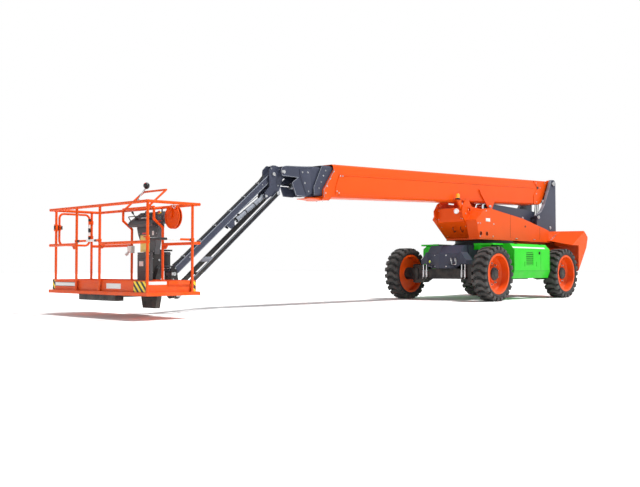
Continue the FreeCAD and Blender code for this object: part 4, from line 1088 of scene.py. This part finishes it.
jib = {"pin": (6.53, 2.20), "end": (8.53, 0.58), "half": 0.052, "depth": 0.050, "cylinderPin": (6.70, 1.83),
       "linkPin": (6.47, 1.89), "linkEnd": (8.47, 0.27), "linkOuter": 0.118, "linkDepth": 0.034,
       "clips": 6}
jibWay = Vector((jib["end"][0] - jib["pin"][0], 0, jib["end"][1] - jib["pin"][1])).normalized()
jibUp = Vector((-jibWay.z, 0, jibWay.x))
jibReach = math.hypot(jib["end"][0] - jib["pin"][0], jib["end"][1] - jib["pin"][1])


def jibSpot(along, y, up):
    return spot(jib["pin"][0], y, jib["pin"][1]) + jibWay * along + jibUp * up


def linkSpot(along, y, up):
    return spot(jib["linkPin"][0], y, jib["linkPin"][1]) + jibWay * along + jibUp * up


def addStrip(shape, corners, half, thick):
    # a folded sheet: corners in the XZ plane, as wide as twice its half, bent from place to place
    for (x, z), (nextX, nextZ) in zip(corners, corners[1:]):
        start, end = spot(x, 0, z), spot(nextX, 0, nextZ)
        way = (end - start).normalized()
        lift = Vector((-way.z, 0, way.x)) * thick
        if lift.z < 0:
            lift = -lift
        side = Vector((0, half, 0))
        start, end = start - way * 0.002, end + way * 0.002
        addPlate(shape, [start - side, start + side, end + side, end - side], lift, 0.0015)


def makeJibTrim():
    edges, bolts, clips, pipes = (bmesh.new() for _ in range(4))
    half, depth = jib["half"], jib["depth"]
    for side in (1, -1):
        # welded corner seams of the beam, pale as painted highlights along its edges, and end bosses round
        # its pins
        for up in (depth - 0.002, 0.002 - depth):
            addRod(edges, jibSpot(0.10, side * (half - 0.001), up),
                   jibSpot(jibReach - 0.10, side * (half - 0.001), up), 0.0065, sides=8)
        for along in (0.0, jibReach):
            addTurned(edges, [(0.030, 0.0), (0.046, 0.0), (0.048, 0.002), (0.048, 0.005), (0.030, 0.005),
                              (0.030, 0.0)], jibSpot(along, side * half, 0), (0, side, 0), 32)
        for along in (0.30, 2.18):
            addBolt(bolts, jibSpot(along, side * half, 0), (0, side, 0), 0.008, 0.007)
    finishAll("jib_arm", ("jib_edge_highlights_and_bosses", edges, "ash"), ("jib_bolts", bolts, "zinc"))
    # two clamped pipes and an electric line on the beam's upper face
    for across in (-0.028, -0.006, 0.020):
        radius = 0.007 if across < 0.01 else 0.005
        tubeAlong(pipes, [jibSpot(0.14, across, depth + 0.030), jibSpot(0.26, across, depth + 0.012),
                          jibSpot(jibReach - 0.26, across, depth + 0.012),
                          jibSpot(jibReach - 0.12, across, depth + 0.020)], radius)
    tilt = Matrix.Rotation(math.atan2(-jibWay.z, jibWay.x), 3, "Y")
    for index in range(jib["clips"]):
        middle = jibSpot(0.34 + index * 0.38, 0, depth + 0.010)
        addCase(clips, middle, (0.014, 0.044, 0.011), (0.014, 0.036, 0.011), 0.002, tilt)
    finishAll("jib_arm", ("jib_lines", pipes, "hose"), ("jib_clips", clips, "zinc"))


def makeLinkTrim():
    rims, plate = bmesh.new(), bmesh.new()
    outer, depth = jib["linkOuter"], jib["linkDepth"]
    for side in (1, -1):
        for along in (0.0, jibReach):
            addTurned(rims, [(0.026, 0.0), (0.037, 0.0), (0.038, 0.002), (0.038, 0.004), (0.026, 0.004),
                             (0.026, 0.0)], linkSpot(along, side * outer, 0), (0, side, 0), 30)
        # pale beads along the bars' upper and lower corners: painted highlights
        for up in (depth - 0.002, 0.002 - depth):
            addRod(rims, linkSpot(0.05, side * (outer - 0.001), up),
                   linkSpot(jibReach - 0.05, side * (outer - 0.001), up), 0.0045, sides=8)
    # tie plate between the two bars
    low, high = linkSpot(jibReach - 0.86, 0, depth - 0.004), linkSpot(jibReach - 0.74, 0, depth - 0.004)
    across = Vector((0, outer, 0))
    addPlate(plate, [low - across, low + across, high + across, high - across], jibUp * 0.006, 0.002)
    finishAll("jib_lower", ("link_rims_and_edge_highlights", rims, "ash"), ("link_tie_plate", plate, "ash"))


def makeKnuckleTrim():
    guard, pins, bolts = (bmesh.new() for _ in range(3))
    # short hood over the knuckle's top web, kept clear of the raised beam
    addStrip(guard, [(6.440, 2.332), (6.470, 2.343), (6.512, 2.344)], 0.060, 0.006)
    for side in (1, -1):
        for (x, z), radius, reach in ((jib["pin"], 0.028, 0.092), (jib["linkPin"], 0.024, 0.124),
                                      (jib["cylinderPin"], 0.020, 0.088)):
            addPin(pins, spot(x, side * reach, z), (0, side, 0), radius, 0.003)
        addBoltRow(bolts, ((6.42, 2.29), (6.60, 2.29), (6.45, 2.02)), side, 0.084, 0.009, 0.008)
        # stiffening beads along the side plate's rear and front edges
        addRod(guard, spot(6.405, side * 0.084, 2.03), spot(6.345, side * 0.084, 2.16), 0.004, sides=8)
        addRod(guard, spot(6.645, side * 0.084, 2.10), spot(6.645, side * 0.084, 2.25), 0.004, sides=8)
    finishAll("jib_knuckle", ("knuckle_hood", guard, "slate"), ("knuckle_pins", pins, "zinc"),
              ("knuckle_bolts", bolts, "zinc"))


rotator = {"x": 8.64, "bolts": 8, "boltCircle": 0.062, "foot": 0.662, "bands": (0.690, 0.868)}


def makeSupportTrim():
    pins, bolts, motor, marks = (bmesh.new() for _ in range(4))
    for side in (1, -1):
        for (x, z), radius, reach in ((jib["end"], 0.028, 0.092), (jib["linkEnd"], 0.024, 0.124)):
            addPin(pins, spot(x, side * reach, z), (0, side, 0), radius, 0.008)
        addBoltRow(bolts, ((8.51, 0.66), (8.60, 0.67), (8.545, 0.50), (8.50, 0.36)), side, 0.084, 0.008,
                   0.007)
    # cap bolts and bands of the rotary actuator, and its valve block
    for index in range(rotator["bolts"]):
        angle = math.tau * index / rotator["bolts"]
        along, across = math.cos(angle) * rotator["boltCircle"], math.sin(angle) * rotator["boltCircle"]
        addBolt(bolts, spot(rotator["x"] + along, across, rotator["foot"]), (0, 0, -1), 0.007, 0.006)
    for height in rotator["bands"]:
        addTurned(motor, [(0.081, -0.012), (0.087, -0.010), (0.087, 0.010), (0.081, 0.012), (0.081, -0.012)],
                  spot(rotator["x"], 0, height), (0, 0, 1), 40)
    addBlock(motor, spot(8.61, -0.099, 0.745), spot(8.67, -0.076, 0.815), 0.004)
    for x in (8.625, 8.655):
        addRod(bolts, spot(x, -0.088, 0.748), spot(x, -0.088, 0.728), 0.008, sides=6)
    finishAll("support", ("support_pins", pins, "zinc"), ("support_bolts", bolts, "zinc"),
              ("rotator_bands", motor, "charcoal"))
    # bolts where the bracket holds the platform
    for side in (1, -1):
        addBoltRow(marks, ((8.80, 0.78), (8.92, 0.80), (8.92, 0.60), (8.90, 0.42)), side, 0.090, 0.011,
                   0.010)
    finished("bracket_bolts", marks, "zinc", "platform")


for make in (makeJibTrim, makeLinkTrim, makeKnuckleTrim, makeSupportTrim):
    make()
print("jib trim made")


# platform trim

deckPlan = {"rear": 8.95, "front": 9.79, "half": 1.22, "floor": 0.355, "toe": 0.500, "mid": 0.992,
            "top": 1.503, "inset": 0.042, "rail": 0.020, "bars": 60, "ties": 14}
postSpots = [(8.97, -1.20), (9.07, 1.20), (9.77, -0.49), (9.77, 0.10), (9.77, 1.20), (9.11, -1.20),
             (9.69, -1.20)]


def makeFloorTrim():
    ribs, lips, feet = (bmesh.new() for _ in range(3))
    rear, front, half = deckPlan["rear"] + 0.055, deckPlan["front"] - 0.055, deckPlan["half"] - 0.055
    floor, toe, inset = deckPlan["floor"], deckPlan["toe"], deckPlan["inset"]
    # raised non-slip bars
    for index in range(deckPlan["bars"] + 1):
        y = -half + 2 * half * index / deckPlan["bars"]
        addBlock(ribs, spot(rear, y - 0.004, floor - 0.001), spot(front, y + 0.004, floor + 0.004))
    for index in range(deckPlan["ties"] + 1):
        x = rear + (front - rear) * index / deckPlan["ties"]
        addBlock(ribs, spot(x - 0.003, -half, floor - 0.001), spot(x + 0.003, half, floor + 0.0025))
    finished("floor_tread", ribs, "orange", "platform")
    # rolled upper edge of the toe-boards
    low, high = deckPlan["rear"] + inset + 0.0025, deckPlan["front"] - inset - 0.0025
    side = deckPlan["half"] - inset - 0.0025
    corners = [(low, -side), (high, -side), (high, side), (low, side), (low, -side)]
    addBead(lips, [spot(x, y, toe) for x, y in corners], 0.0045, 10)
    for x, y in corners[:4]:
        addRod(lips, spot(x, y, floor), spot(x, y, toe), 0.0050, sides=10)
    # folded flange along the toe-board of the entry and of the near side
    addBlock(lips, spot(high, -0.47, toe - 0.010), spot(high + 0.018, 0.08, toe - 0.003), 0.001)
    addBlock(lips, spot(9.10, side, toe - 0.050), spot(9.44, side + 0.016, toe - 0.003), 0.001)
    # two ribs across the entry's toe-board
    addBlock(lips, spot(high + 0.002, -0.47, 0.372), spot(high + 0.008, 0.08, 0.380), 0.001)
    addBlock(lips, spot(high + 0.002, -0.47, 0.452), spot(high + 0.008, 0.08, 0.460), 0.001)
    finished("toe_lips", lips, "orange", "platform")
    for x, y in postSpots:
        addBlock(feet, spot(x - 0.019, y - 0.019, floor - 0.001), spot(x + 0.019, y + 0.019, floor + 0.006),
                 0.001)
        addTurned(feet, [(0.018, 0.006), (0.0225, 0.006), (0.018, 0.012), (0.018, 0.006)], spot(x, y, floor),
                  (0, 0, 1), 20)
    finished("post_feet", feet, "orange", "platform")


def makeRailTrim():
    gussets, caps, dark, rings = (bmesh.new() for _ in range(4))
    mid, top, rail = deckPlan["mid"], deckPlan["top"], deckPlan["rail"]
    # small gussets under the mid rails beside their posts
    for x, y, way in ((9.77, -0.508, -1), (9.77, 0.118, 1), (8.97, -0.358, -1), (8.97, 0.428, 1)):
        addPlate(gussets, [spot(x - 0.004, y, mid - 0.014), spot(x - 0.004, y + way * 0.110, mid - 0.014),
                           spot(x - 0.004, y + way * 0.060, mid - 0.068), spot(x - 0.004, y, mid - 0.068)],
                 (0.008, 0, 0), 0.001)
        # a black disc through the gusset stands for its hole: painted shade
        addRod(dark, spot(x - 0.0055, y + way * 0.045, mid - 0.040),
               spot(x + 0.0055, y + way * 0.045, mid - 0.040), 0.010, sides=18)
    # plugs in the open tube ends
    for x, y, z in ((8.955, 1.20, top), (8.95, 1.20, mid)):
        addRod(caps, spot(x - 0.003, y, z), spot(x + 0.002, y, z), rail * 0.86, sides=24, edge=0.001)
    for y in (-1.22, 1.22):
        sign = 1 if y > 0 else -1
        for x in (8.97, 9.77):
            for z in (top, mid):
                addRod(caps, spot(x, y - sign * 0.002, z), spot(x, y + sign * 0.003, z), rail * 0.86,
                       sides=24, edge=0.001)
    # weld rings where the posts meet the top rail
    for x, y in postSpots:
        addTurned(gussets, [(0.0175, 0.0), (0.0215, -0.001), (0.0175, -0.006), (0.0175, 0.0)],
                  spot(x, y, top - rail + 0.002), (0, 0, 1), 20)
    # anchor rings for harnesses
    for x, y in ((9.36, -1.185), (9.36, 1.185)):
        along = Vector((1, 0, 0))
        centre = spot(x, y, top - rail - 0.024)
        loop = [centre + along * math.cos(angle) * 0.020 + Vector((0, 0, math.sin(angle) * 0.024))
                for angle in (math.tau * step / 16 for step in range(17))]
        addBead(rings, loop, 0.0045)
    finishAll("platform", ("rail_gussets", gussets, "orange"), ("rail_plugs", caps, "orange"),
              ("gusset_hole_shade", dark, "button"), ("anchor_rings", rings, "zinc"))


def makeMarks():
    stripes, plates, darker = (bmesh.new() for _ in range(3))
    front, near, rear = deckPlan["front"] - deckPlan["inset"], deckPlan["half"] - deckPlan["inset"], 8.992
    low, high = deckPlan["floor"] + 0.002, deckPlan["toe"] - 0.006
    # striped patches on the corners of the toe-board
    addBlock(stripes, spot(front - 0.001, 0.87, low), spot(front + 0.0015, near, high))
    addBlock(stripes, spot(front - 0.001, -near, low), spot(front + 0.0015, 0.07 - near, high))
    addBlock(stripes, spot(rear, near - 0.001, low), spot(rear + 0.09, near + 0.0015, high))
    addBlock(stripes, spot(rear - 0.0015, near - 0.13, low), spot(rear + 0.001, near, high))
    finished("edge_stripes", stripes, "hazard", "platform")
    # blank plates
    addBlock(plates, spot(front - 0.001, -1.10, 0.415), spot(front + 0.002, -0.56, 0.462), 0.0006)
    addBlock(plates, spot(9.46, near - 0.001, 0.452), spot(9.735, near + 0.002, 0.492), 0.0006)
    addBlock(plates, spot(front - 0.001, 0.24, 0.392), spot(front + 0.002, 0.58, 0.462), 0.0006)
    finished("blank_plates", plates, "pale", "platform")
    addBlock(darker, spot(front - 0.001, -1.108, 0.409), spot(front + 0.001, -0.552, 0.468), 0.0004)
    finished("plate_borders", darker, "button", "platform")


def makeGateTrim():
    latch, tags, pale = (bmesh.new() for _ in range(3))
    # latch handle and strike, drawn on the free stile
    addBlock(latch, spot(9.648, -1.222, 1.215), spot(9.662, -1.178, 1.287), 0.002)
    addRod(latch, spot(9.640, -1.165, 1.250), spot(9.640, -1.130, 1.250), 0.007, sides=14)
    addRod(latch, spot(9.640, -1.128, 1.222), spot(9.640, -1.128, 1.278), 0.009, sides=14, edge=0.002)
    finished("gate_latch", latch, "button", "gate")
    # dark and pale marker sleeves on the hinged stile
    for low, high, shape, radius in ((1.075, 1.135, tags, 0.0175), (1.150, 1.200, pale, 0.0172),
                                     (1.200, 1.262, tags, 0.0175), (1.262, 1.315, pale, 0.0172),
                                     (1.365, 1.402, tags, 0.0175)):
        addRod(shape, spot(9.15, -1.20, low), spot(9.15, -1.20, high), radius, sides=24)
    finishAll("gate", ("gate_tags", tags, "button"), ("gate_sleeves", pale, "pale"))
    keeper, magnets = bmesh.new(), bmesh.new()
    addBlock(keeper, spot(9.676, -1.228, 1.200), spot(9.712, -1.172, 1.300), 0.003)
    addBlock(magnets, spot(9.712, -1.215, 1.222), spot(9.722, -1.185, 1.278), 0.002)
    finishAll("platform", ("gate_keeper", keeper, "orange"), ("gate_stop", magnets, "button"))


def makeBarTrim():
    for name, body, wrap in (("front", "front_bar", ((-0.465, -0.40, "dark"), (-0.22, -0.02, "pale"),
                                                     (-0.02, 0.03, "dark"))),
                             ("side", "side_bar", ((9.48, 9.745, "dark"), (9.28, 9.48, "pale"),
                                                   (9.10, 9.125, "dark")))):
        dark, pale = bmesh.new(), bmesh.new()
        level = deckPlan["mid"] + 0.044
        for low, high, shade in wrap:
            ends = (spot(9.77, low, level), spot(9.77, high, level)) if name == "front" else (
                spot(low, 1.20, level), spot(high, 1.20, level))
            addRod(dark if shade == "dark" else pale, *ends, 0.0165, sides=24, edge=0.001)
        finishAll(body, (name + "_bar_grips", dark, "button"), (name + "_bar_tags", pale, "pale"))


for make in (makeFloorTrim, makeRailTrim, makeMarks, makeGateTrim, makeBarTrim):
    make()
print("platform trim made")


# console, reel and fittings

panel = {"low": (9.055, 1.325), "high": (8.855, 1.465)}
panelWay = Vector((panel["high"][0] - panel["low"][0], 0, panel["high"][1] - panel["low"][1])).normalized()
panelUp = Vector((panelWay.z, 0, -panelWay.x))
panelTurn = Matrix((panelWay, Vector((0, 1, 0)), panelUp)).transposed()


def panelSpot(along, y, up=0.0):
    return spot(panel["low"][0], y, panel["low"][1]) + panelWay * along + panelUp * up


def addPanelBlock(shape, along, y, size, tall, edge=0.002):
    middle = panelSpot(along, y, tall / 2)
    reach = Vector((size[0] / 2, size[1] / 2, tall / 2))
    addBlock(shape, middle - reach, middle + reach, edge, panelTurn)


def addStick(shape, along, y, tall):
    # rubber boot in rings, then the lever and its grip
    rings = [(0.0, 0.0), (0.034, 0.0), (0.034, 0.004)]
    for step in range(4):
        rings += [(0.030 - step * 0.005, 0.008 + step * 0.008), (0.026 - step * 0.005, 0.011 + step * 0.008)]
    addTurned(shape, rings + [(0.0, 0.040)], panelSpot(along, y), panelUp, 28)
    addRod(shape, panelSpot(along, y, 0.030), panelSpot(along, y, tall - 0.03), 0.006, sides=14)
    addTurned(shape, [(0.0, tall - 0.045), (0.011, tall - 0.042), (0.015, tall - 0.020),
                      (0.016, tall - 0.006), (0.010, tall), (0.0, tall)], panelSpot(along, y), panelUp, 24)


def makePanelTrim():
    face, keys, reds, yellows, pale, sticks = (bmesh.new() for _ in range(6))
    addPanelBlock(face, 0.122, 0.005, (0.232, 0.560), 0.004)
    for along, y, tall in ((0.060, -0.175, 0.135), (0.060, 0.150, 0.120)):
        addStick(sticks, along, y, tall)
    for row, along in enumerate((0.140, 0.190)):
        for column in range(7):
            y = -0.205 + column * 0.062 + row * 0.012
            addPanelBlock(keys, along, y, (0.022, 0.030), 0.008)
            addRod(keys, panelSpot(along, y, 0.006), panelSpot(along + 0.004, y, 0.026), 0.0042, sides=12,
                   edge=0.001)
    addTurned(yellows, [(0.0, 0.004), (0.030, 0.004), (0.030, 0.010), (0.024, 0.012), (0.0, 0.012)],
              panelSpot(0.190, 0.235), panelUp, 28)
    addTurned(reds, [(0.0, 0.010), (0.010, 0.010), (0.010, 0.024), (0.022, 0.026), (0.022, 0.033),
                     (0.014, 0.038), (0.0, 0.039)], panelSpot(0.190, 0.235), panelUp, 28)
    for y in (-0.060, -0.020, 0.020, 0.060):
        addPanelBlock(pale, 0.080, y, (0.022, 0.030), 0.0055, 0.001)
    # guard bar over the tray
    ends = (panelSpot(0.012, -0.255, 0.004), panelSpot(0.012, 0.265, 0.004))
    tubeAlong(sticks, [ends[0], ends[0] + panelUp * 0.075, ends[1] + panelUp * 0.075, ends[1]], 0.007)
    finishAll("platform", ("panel_face", face, "charcoal"), ("panel_sticks", sticks, "button"),
              ("panel_switches", keys, "button"), ("panel_stop", reds, "buttonRed"),
              ("panel_stop_ring", yellows, "buttonYellow"), ("panel_plates", pale, "pale"))


def makeConsoleTrim():
    plates, tags, reds, screws, seams = (bmesh.new() for _ in range(5))
    front = deckPlan["rear"] - 0.005
    addBlock(plates, spot(front - 0.001, -0.160, 0.892), spot(front + 0.003, 0.066, 1.130), 0.001)
    addBlock(reds, spot(front + 0.001, -0.09, 1.103), spot(front + 0.0045, 0.00, 1.121), 0.0006)
    addBlock(reds, spot(front - 0.001, -0.120, 1.145), spot(front + 0.003, 0.030, 1.170), 0.0006)
    addBlock(tags, spot(front - 0.001, 0.125, 1.13), spot(front + 0.003, 0.165, 1.19), 0.0006)
    addBlock(tags, spot(9.049, -0.035, 0.690), spot(9.0525, 0.065, 0.760), 0.0006)
    for y, z in ((-0.235, 1.25), (0.240, 1.25), (-0.200, 1.155), (0.225, 1.155), (-0.075, 0.90),
                 (0.160, 0.90)):
        addBolt(screws, spot(front, y, z), (1, 0, 0), 0.006, 0.005)
    for y in (-0.068, 0.208):
        for z in (0.40, 0.86):
            addBolt(screws, spot(9.05, y, z), (1, 0, 0), 0.006, 0.005)
    addBlock(seams, spot(9.049, -0.080, 0.610), spot(9.052, 0.220, 0.618), 0.0008)
    addBlock(seams, spot(9.049, -0.080, 0.795), spot(9.052, 0.220, 0.803), 0.0008)
    # socket box with its plug on the rear frame, and the foot switch on the floor
    box = spot(8.97, -0.36, 0.935)
    addCase(tags, box, (0.030, 0.040, 0.055), (0.040, 0.050, 0.050), 0.006)
    addRod(tags, box + Vector((0.03, -0.030, -0.050)), box + Vector((0.055, -0.055, -0.085)), 0.020,
           sides=24, edge=0.003)
    addCase(screws, box, (0.036, 0.020, 0.030), (-0.028, 0.020, 0.030), 0.002)
    addBlock(seams, spot(9.17, -0.24, 0.3585), spot(9.36, -0.06, 0.405), 0.012)
    addBlock(seams, spot(9.20, -0.205, 0.400), spot(9.35, -0.095, 0.425), 0.006)
    finishAll("platform", ("console_plate", plates, "yellowPlate"), ("console_tags", tags, "pale"),
              ("console_marks", reds, "buttonRed"), ("console_screws", screws, "zinc"),
              ("console_seams", seams, "button"))


def makeHoopTrim():
    lamp, stalk, glass = (bmesh.new() for _ in range(3))
    top = spot(8.805, -0.225, 1.865)
    addTurned(lamp, [(0.0, -0.052), (0.016, -0.050), (0.036, -0.034), (0.046, -0.008), (0.046, 0.014),
                     (0.034, 0.034), (0.016, 0.044), (0.0, 0.046)], top, (0.35, 0.2, 0.9), 32)
    tubeAlong(stalk, [spot(8.905, -0.300, 1.650), spot(8.880, -0.292, 1.700), spot(8.835, -0.250, 1.790),
                      spot(8.812, -0.232, 1.825)], 0.0085)
    addBlock(stalk, spot(8.880, -0.325, 1.630), spot(8.925, -0.280, 1.665), 0.004)
    addTurned(glass, [(0.0, 0.0), (0.010, 0.0), (0.010, 0.004), (0.0, 0.005)],
              top + Vector((0.030, 0.010, 0.032)), (0.6, 0.3, 0.7), 18)
    finishAll("platform", ("sensor_head", lamp, "button"), ("sensor_stalk", stalk, "zinc"),
              ("sensor_lens", glass, "redLens"))


reel = {"place": (8.875, 0.56, 1.37), "turns": 2, "layers": 5, "core": 0.078, "hose": 0.0068, "bolts": 6,
        "boltCircle": 0.055}


def makeReelTrim():
    # the hose lies on the drum as closed rings, side by side and one layer over the other
    coil, bolts, boxes, reds, seams = (bmesh.new() for _ in range(5))
    rear, y, z = reel["place"]
    for turn in range(reel["turns"]):
        for layer in range(reel["layers"]):
            radius, x = reel["core"] + layer * 0.013, rear + 0.019 + turn * 0.015
            addTurned(coil, [(radius + math.cos(angle) * reel["hose"], math.sin(angle) * reel["hose"])
                             for angle in (math.tau * step / 10 for step in range(11))], spot(x, y, z),
                      (1, 0, 0), 56)
    for index in range(reel["bolts"]):
        angle = math.tau * index / reel["bolts"] + 0.3
        across, up = math.cos(angle) * reel["boltCircle"], math.sin(angle) * reel["boltCircle"]
        addBolt(bolts, spot(rear, y + across, z + up), (-1, 0, 0), 0.007, 0.006)
    for face, way in ((rear + 0.054, 1), (rear, -1)):
        addTurned(seams, [(0.157, 0.0), (0.160, 0.0025), (0.163, 0.0), (0.157, 0.0)], spot(face, y, z),
                  (way, 0, 0), 64)
    # valve and junction boxes beside the reel
    for low, high, shape in (((8.925, 0.335, 1.225), (8.985, 0.385, 1.275), boxes),
                             ((8.925, 0.330, 1.300), (8.985, 0.390, 1.352), boxes),
                             ((8.986, 0.342, 1.306), (8.992, 0.378, 1.328), reds),
                             ((8.925, 0.335, 1.380), (8.980, 0.385, 1.420), boxes)):
        addBlock(shape, spot(*low), spot(*high), 0.003)
    addBlock(boxes, spot(8.940, 0.352, 1.20), spot(8.956, 0.368, 1.50), 0.002)
    finishAll("platform", ("reel_hose", coil, "hose"), ("reel_bolts", bolts, "zinc"),
              ("reel_seams", seams, "orange"), ("rear_boxes", boxes, "console"),
              ("rear_marks", reds, "buttonRed"))


def makePlatformLines():
    # clamped hydraulic lines from the rotator to the console and under the floor
    lines, clamps = bmesh.new(), bmesh.new()
    for step, across in enumerate((-0.050, -0.025, 0.0, 0.025)):
        tubeAlong(lines, [spot(8.74, across, 0.945), spot(8.80, across, 0.965 + step * 0.004),
                          spot(8.905, across + 0.01, 0.985), spot(8.925, across + 0.01, 1.05)], 0.008)
    for step, across in enumerate((0.105, 0.130, 0.155)):
        tubeAlong(lines, [spot(8.80, 0.075, 0.70), spot(8.85, across, 0.66), spot(8.905, across, 0.52),
                          spot(8.905, across, 0.34), spot(8.99, across, 0.285 + step * 0.003)], 0.010)
    addBlock(clamps, spot(8.79, -0.064, 0.934), spot(8.815, 0.040, 0.984), 0.003)
    addBlock(clamps, spot(8.895, 0.090, 0.430), spot(8.925, 0.170, 0.455), 0.003)
    finishAll("platform", ("platform_lines", lines, "hose"), ("platform_clamps", clamps, "zinc"))


for make in (makePanelTrim, makeConsoleTrim, makeHoopTrim, makeReelTrim, makePlatformLines):
    make()
print("console and reel trim made")
